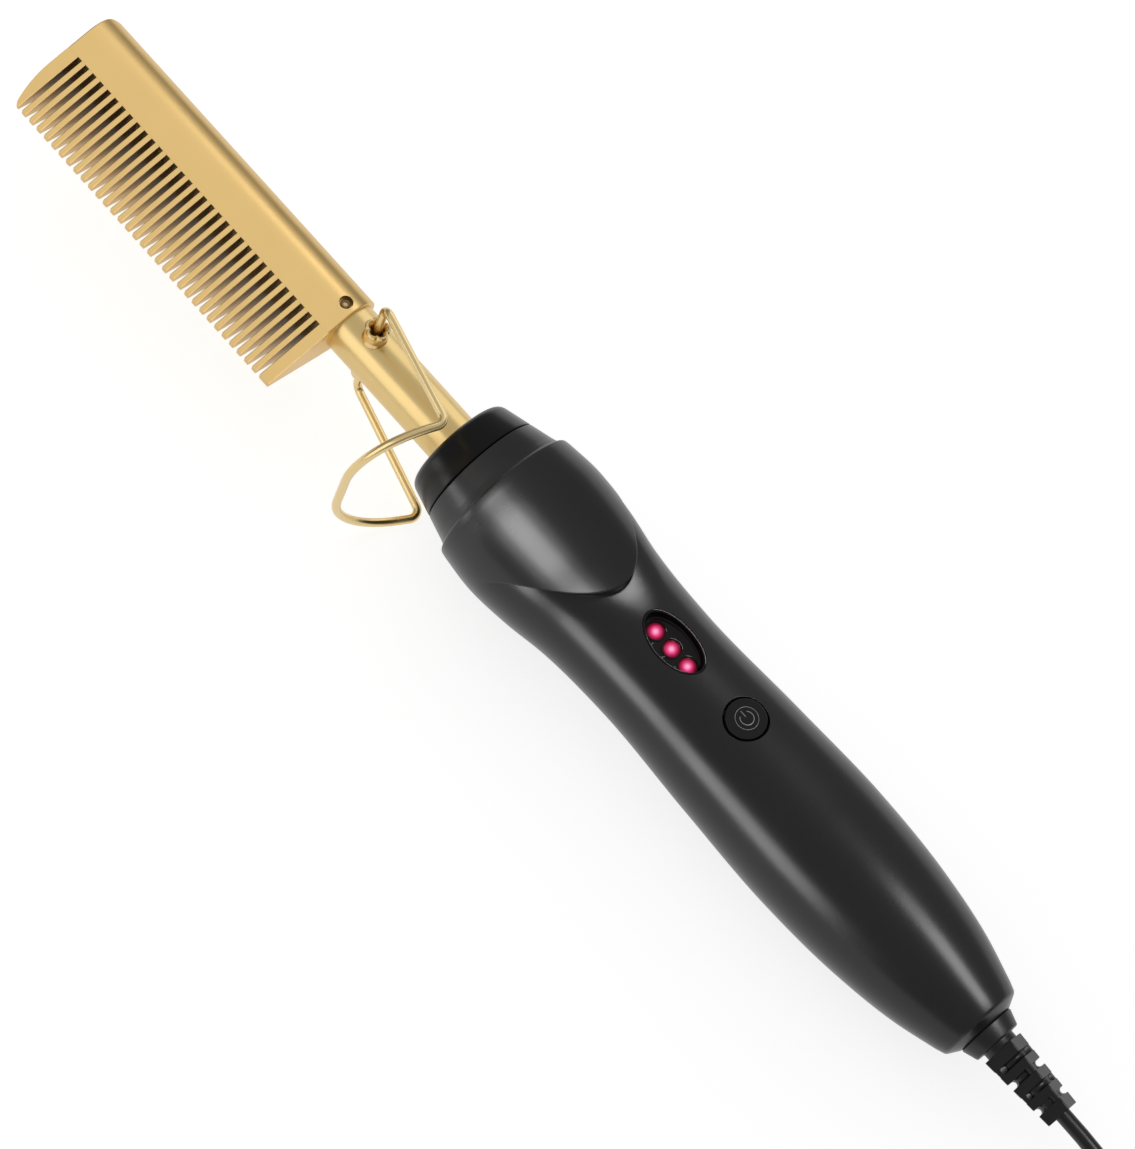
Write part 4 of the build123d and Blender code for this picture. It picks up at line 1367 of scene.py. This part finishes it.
TAIL_TAPER, GROOVE_PLACES = 0.087, np.arange(36.0, 44.0, 2.2)


def plug_stations():
    """(x, half width, half height, corner) from the pin face, where x is below 0, to the lead."""
    tail = []
    for x in GROOVE_PLACES:
        tail += [(x + step, radius - (x - PLUG_LENGTH) * TAIL_TAPER) for step, radius in PLUG_GROOVE]
    return PLUG_STATIONS + [(x, radius, radius, radius - 0.01) for x, radius in tail + PLUG_END]


def plug_body():
    """Sections of the plug in a row from its pin face to the lead."""
    rows = []
    for x, *section in plug_stations():
        across, up = ring_section(*section)
        row = PLUG_FACE_X - x, across + PLUG_BACK[1], up + PLUG_BACK[2]
        rows.append(np.stack(np.broadcast_arrays(*row), -1))
    return [grid(rows, close_columns=True), fan(rows[0])]


build("plug", plug_body(), BLACK_SATIN, ["plug_body"], in_tool=False, sharp=45)

# %% [markdown]
# ### Pins
#
# The pins are turned. Next to the body each has a dark sleeve, as safety rules ask of such plugs,
# and its bare tip is domed.

# %% Pins
PIN_APART = 9.3
NICKEL = material("nickel_pin", (0.72, 0.70, 0.66), 1.0, (80, 0.16, 0.26), lines=(2500, 0.1))


def both_pins(profile):
    """The same turned profile on both sides of the plug's middle."""
    points, faces = lathe(profile, segments=32)
    middles = [(PLUG_FACE_X, PLUG_BACK[1] + side * PIN_APART, PLUG_BACK[2]) for side in (-1, 1)]
    return [(points + middle, faces) for middle in middles]


def pin_tip(x_from, x_to, radius):
    """A cylinder that ends in a dome: x = end - radius + radius sin t, r = radius cos t."""
    t = np.radians(np.linspace(10, 89.9, 10))
    dome = zip(x_to - radius + radius * np.sin(t), radius * np.cos(t))
    return [(x_from, radius), (x_to - radius, radius), *dome]


build("pin_tips", both_pins(pin_tip(14.0, 24.5, 2.0)), NICKEL, ["plug_pins"], in_tool=False)
SLEEVE = [(5.4, 1.95), (15.3, 1.95), (15.4, 1.85), (15.4, 0.5)]
build("pin_sleeves", both_pins(SLEEVE), BLACK_SATIN, in_tool=False)

# %% [markdown]

# %% [markdown]
# ## Inside pieces
#
# What sits inside the handle and the comb keeps its CAD shape. It is sealed in, but a viewer can
# take the tool apart, so each piece gets the finish of the real one: a name, colour, metallic
# value, wear, and the nodes that have it.

# %% Finishes of the inside pieces
INSIDE = {
    "aluminium": ((0.75, 0.76, 0.77), 1.0, (90, 0.35, 0.45), [
        "heater_wedge_upper", "heater_wedge_lower"]),
    "polyimide": ((0.42, 0.18, 0.03), 0.0, (90, 0.25, 0.35), ["heater_insulation"]),
    "brass": ((0.72, 0.52, 0.22), 1.0, (90, 0.30, 0.40), ["heater_electrodes"]),
    "ceramic": ((0.18, 0.17, 0.16), 0.0, (90, 0.6, 0.7), ["ptc_heaters"]),
    "white_lead": ((0.78, 0.77, 0.73), 0.0, (90, 0.5, 0.6), ["heater_leads"]),
    "red_lead": ((0.45, 0.04, 0.03), 0.0, (90, 0.4, 0.5), ["sensor_leads"]),
    "glass_bead": ((0.50, 0.30, 0.12), 0.0, (90, 0.1, 0.2), ["thermistor"]),
    "steel": ((0.62, 0.62, 0.61), 1.0, (90, 0.3, 0.4), [
        "thermal_fuse", "stem_flange", "board_screws", "clamp_screws"]),
    "mica": ((0.55, 0.47, 0.34), 0.0, (60, 0.3, 0.5), ["mica_washer"]),
    "dark_plastic": ((0.03, 0.03, 0.03), 0.0, (60, 0.4, 0.5), [
        "led_holder", "tact_switch", "switch_plunger", "controller_chip", "triac"]),
    "grey_plastic": ((0.22, 0.23, 0.24), 0.0, (60, 0.45, 0.55), ["board_sled", "cord_clamp"]),
    "board_green": ((0.02, 0.16, 0.06), 0.0, (60, 0.25, 0.35), ["control_board"]),
    "film_red": ((0.45, 0.05, 0.04), 0.0, (60, 0.15, 0.25), ["film_capacitor"]),
    "can_sleeve": ((0.04, 0.05, 0.10), 0.0, (60, 0.2, 0.3), ["bulk_capacitor"]),
    "core_blue": ((0.06, 0.12, 0.45), 0.0, (60, 0.35, 0.45), ["cord_cores"]),
    "jacket": ((0.010, 0.010, 0.011), 0.0, (70, 0.22, 0.30), ["jacket_end"]),
}
for name, (color, metallic, wear, nodes) in INSIDE.items():
    finish = material(f"inside_{name}", color, metallic, wear, grain=(1500, 0.08))
    for node in nodes:
        mesh = frame["nodes"][node].data
        mesh.materials.clear()
        mesh.materials.append(finish)
print(f"inside pieces: {sum(len(v[3]) for v in INSIDE.values())} nodes, {len(INSIDE)} finishes")

# %% [markdown]
# ## Camera
#
# The camera is described in the tool's own frame too: it looks down on the control face, tilted
# to the tooth side by 24 degrees and back along the handle by 9.5, and rolled so that the tool
# runs from corner to corner of a nearly square image. A long lens keeps the perspective faint.

# %% Camera
BACK_TILT, SIDE_TILT, ROLL = math.radians(9.5), math.radians(24.0), math.radians(47.87)
DISTANCE, IMAGE_HEIGHT, FOCAL_PIXELS, SENSOR = 1059.5, 1149, 4900, 36.0
LEVEL = math.cos(BACK_TILT)
VIEW = np.array([math.sin(BACK_TILT), -LEVEL * math.sin(SIDE_TILT), LEVEL * math.cos(SIDE_TILT)])
ACROSS = np.array([0.0, math.cos(SIDE_TILT), math.sin(SIDE_TILT)])
TARGET = np.array([37.82, 0, 0]) - 1.07 * ACROSS


def level_axis(normal):
    """The direction nearest to X at right angles to a normal: X less its share along the normal."""
    along = np.array([1.0, 0, 0]) - normal[0] * normal
    return along / np.linalg.norm(along)


def stand_at(obj, place, axes):
    """Put an object at a point of the tool's frame (mm), with its three axes given there."""
    turn = np.array(axes) @ ROTATION
    spot = Matrix.Translation(Vector(placed([place])[0]))
    obj.matrix_world = spot @ Matrix(turn.T.tolist()).to_4x4()
    bpy.context.scene.collection.objects.link(obj)


RIGHT = math.cos(ROLL) * level_axis(VIEW) + math.sin(ROLL) * ACROSS
RIGHT /= np.linalg.norm(RIGHT)
camera_data = bpy.data.cameras.new("camera")
camera_data.sensor_fit = "VERTICAL"
camera_data.sensor_height = SENSOR
camera_data.lens = SENSOR * FOCAL_PIXELS / IMAGE_HEIGHT
camera = bpy.data.objects.new("camera", camera_data)
stand_at(camera, TARGET + DISTANCE * VIEW, [RIGHT, np.cross(VIEW, RIGHT), VIEW])
bpy.context.scene.camera = camera
print(f"camera: {DISTANCE} mm from the tool, lens {camera_data.lens:.1f} mm")

# %% [markdown]
# ## Floor
#
# The floor is matt white. What the camera sees of it is lifted by its own light, which reaches
# camera rays and, a little less of it, mirrored ones, and no other. So it is white where the
# lamps reach it, gold and gloss mirror a pale room, and the soft shadow still shows.

# %% Floor
SEEN, MIRRORED, FLOOR_HALF = 0.80, 0.66, 3


def pale_floor():
    """White floor whose own light is SEEN times camera ray plus MIRRORED times glossy ray."""
    made = material("pale_floor", (0.6, 0.6, 0.6), 0.0, (6, 0.75, 0.85), grain=(600, 0.05))
    tree, shader = made.node_tree, made.node_tree.nodes["Principled BSDF"]
    path, seen, both = add(tree, "LightPath"), add(tree, "Math"), add(tree, "Math")
    seen.operation, both.operation = "MULTIPLY", "MULTIPLY_ADD"
    seen.inputs[1].default_value = SEEN
    both.inputs[1].default_value = MIRRORED
    link(tree,
         (path.outputs["Is Camera Ray"], seen.inputs[0]),
         (path.outputs["Is Glossy Ray"], both.inputs[0]), (seen.outputs[0], both.inputs[2]),
         (both.outputs[0], shader.inputs["Emission Strength"]))
    shader.inputs["Emission Color"].default_value = (1, 1, 1, 1)
    return made


floor_mesh = bpy.data.meshes.new("floor")
FLOOR_CORNERS = [(x * FLOOR_HALF, y * FLOOR_HALF, 0) for x, y in ((-1, -1), (1, -1), (1, 1), (-1, 1))]
floor_mesh.from_pydata(FLOOR_CORNERS, [], [(0, 1, 2, 3)])
floor_mesh.materials.append(pale_floor())
floor = bpy.data.objects.new("floor", floor_mesh)
bpy.context.scene.collection.objects.link(floor)
print(f"floor: {2 * FLOOR_HALF} m square")

# %% [markdown]
# ## World
#
# The world is a dim even grey, as a studio's dark ceiling is, and white only to the camera.

# %% World
WORLD_LEVEL = 0.28


def studio_world():
    """Background strength 1 for camera rays and WORLD_LEVEL for all the others."""
    world = bpy.data.worlds.new("studio")
    world.use_nodes = True
    tree, background = world.node_tree, world.node_tree.nodes["Background"]
    path, level = add(tree, "LightPath"), add(tree, "MapRange", To_Min=WORLD_LEVEL, To_Max=1.0)
    link(tree, (path.outputs["Is Camera Ray"], level.inputs["Value"]),
         (level.outputs["Result"], background.inputs["Strength"]))
    background.inputs["Color"].default_value = (1, 1, 1, 1)
    return world


bpy.context.scene.world = studio_world()
bpy.context.scene.view_settings.view_transform = "Standard"
print(f"world: level {WORLD_LEVEL}")

# %% [markdown]
# ## Studio lights
#
# Plated gold and black gloss show little of their own: what one sees of them is the lamps that
# they mirror. So each soft panel stands where its reflection draws one part of the form. Black
# flags keep a studio's lamp off the rest of the set, and light linking does that here: a panel
# lights the pieces that it names and nothing else.

# %% A soft panel
def panel(name, place, aim, size, radiance, pieces):
    """Rectangular light: place and aim in mm of the tool's frame, size (along X, across) in m.

    The power of a flat light is its radiance times pi times its area.
    """
    data = bpy.data.lights.new(name, "AREA")
    data.shape = "RECTANGLE"
    data.size, data.size_y = size
    data.energy = radiance * math.pi * size[0] * size[1]
    holder = bpy.data.objects.new(name, data)
    holder.visible_camera = False
    lit = bpy.data.collections.new(name)
    for piece in pieces:
        lit.objects.link(bpy.data.objects[piece])
    holder.light_linking.receiver_collection = lit
    outward = np.subtract(place, aim).astype(float)
    outward /= np.linalg.norm(outward)
    along = level_axis(outward)
    stand_at(holder, place, [along, np.cross(outward, along), outward])
    print(f"{name}: {data.energy:.2f} W")


# %% [markdown]
# ### Gold
#
# The comb's flat flank mirrors one big panel, which also lights the floor, and a faint one far
# above keeps its back from going dark. A small panel draws the bright line along the spine, and
# one beyond the lead lights the end wall. Tube and wire are round, so they mirror a whole arc of
# the studio: a panel on each side gives each of them two bright streaks.

# %% Lights for the gold
BRIGHT_METAL = ["stem", "stand_wire", "eyelet_upper", "eyelet_lower", "comb_screw"]
panel("comb_panel", (-200, 90, 340), (-80, 0, 0), (0.42, 0.85), 0.33, ["comb", "floor"])
panel("comb_fill", (-80, 0, 1300), (-80, 0, 0), (3.0, 3.0), 0.36, ["comb"])
panel("spine_panel", (-105, 350, 480), (-70, 0, 0), (0.24, 0.20), 0.95, ["comb"])
panel("end_panel", (560, 20, 150), (-60, -5, 3), (0.40, 0.50), 1.6, ["comb"])
panel("metal_fill", (-90, -40, 500), (-20, 0, 0), (0.90, 0.90), 0.30, BRIGHT_METAL)
panel("metal_tooth_side", (-140, -600, 310), (-20, 0, 0), (0.70, 0.56), 1.05, BRIGHT_METAL)
panel("metal_spine_side", (-140, 560, 320), (-20, 0, 0), (0.70, 0.56), 0.85, BRIGHT_METAL)

# %% [markdown]
# ### Black plastic
#
# The handle is dark, and its form shows as soft streaks: a broad one over the bulb with a wider,
# fainter fringe, one on the neck and the collar, one behind the tongue, one low along the tooth
# side and one that lights the tail, the boot and the lead. The last two panels draw the window's
# rim and the sign on the button.

# %% Lights for the plastic
panel("bulb_panel", (-72, -490, 654), (30, -10, 14), (0.52, 0.46), 7.6, ["handle_bulb"])
panel("bulb_fringe", (-74, -500, 666), (30, -10, 14), (0.50, 0.92), 2.4, ["handle_bulb"])
panel("neck_panel", (-500, -760, 70), (12, 0, 0), (0.30, 0.22), 4.0, ["handle_bulb"])
panel("collar_panel", (-500, -760, 70), (6, 0, 0), (0.40, 0.26), 1.6, ["collar"])
panel("tongue_panel", (-258, 271, 480), (54, 1, 15), (0.16, 0.26), 15.0, ["handle_grip"])
panel("side_panel", (-20, -800, 130), (80, 0, 0), (0.28, 0.30), 6.6, ["handle_grip"])
panel("tail_panel", (430, 230, 680), (100, 0, 0), (0.40, 0.26), 8.0, ["handle_grip", "boot", "lead"])
panel("rim_panel", (-60, 600, 360), (66, 0, 14), (0.60, 0.22), 12.0, ["window"])
panel("button_panel", (520, 200, 480), (89, 0, 16), (0.30, 0.40), 9.0, ["button_sign"])
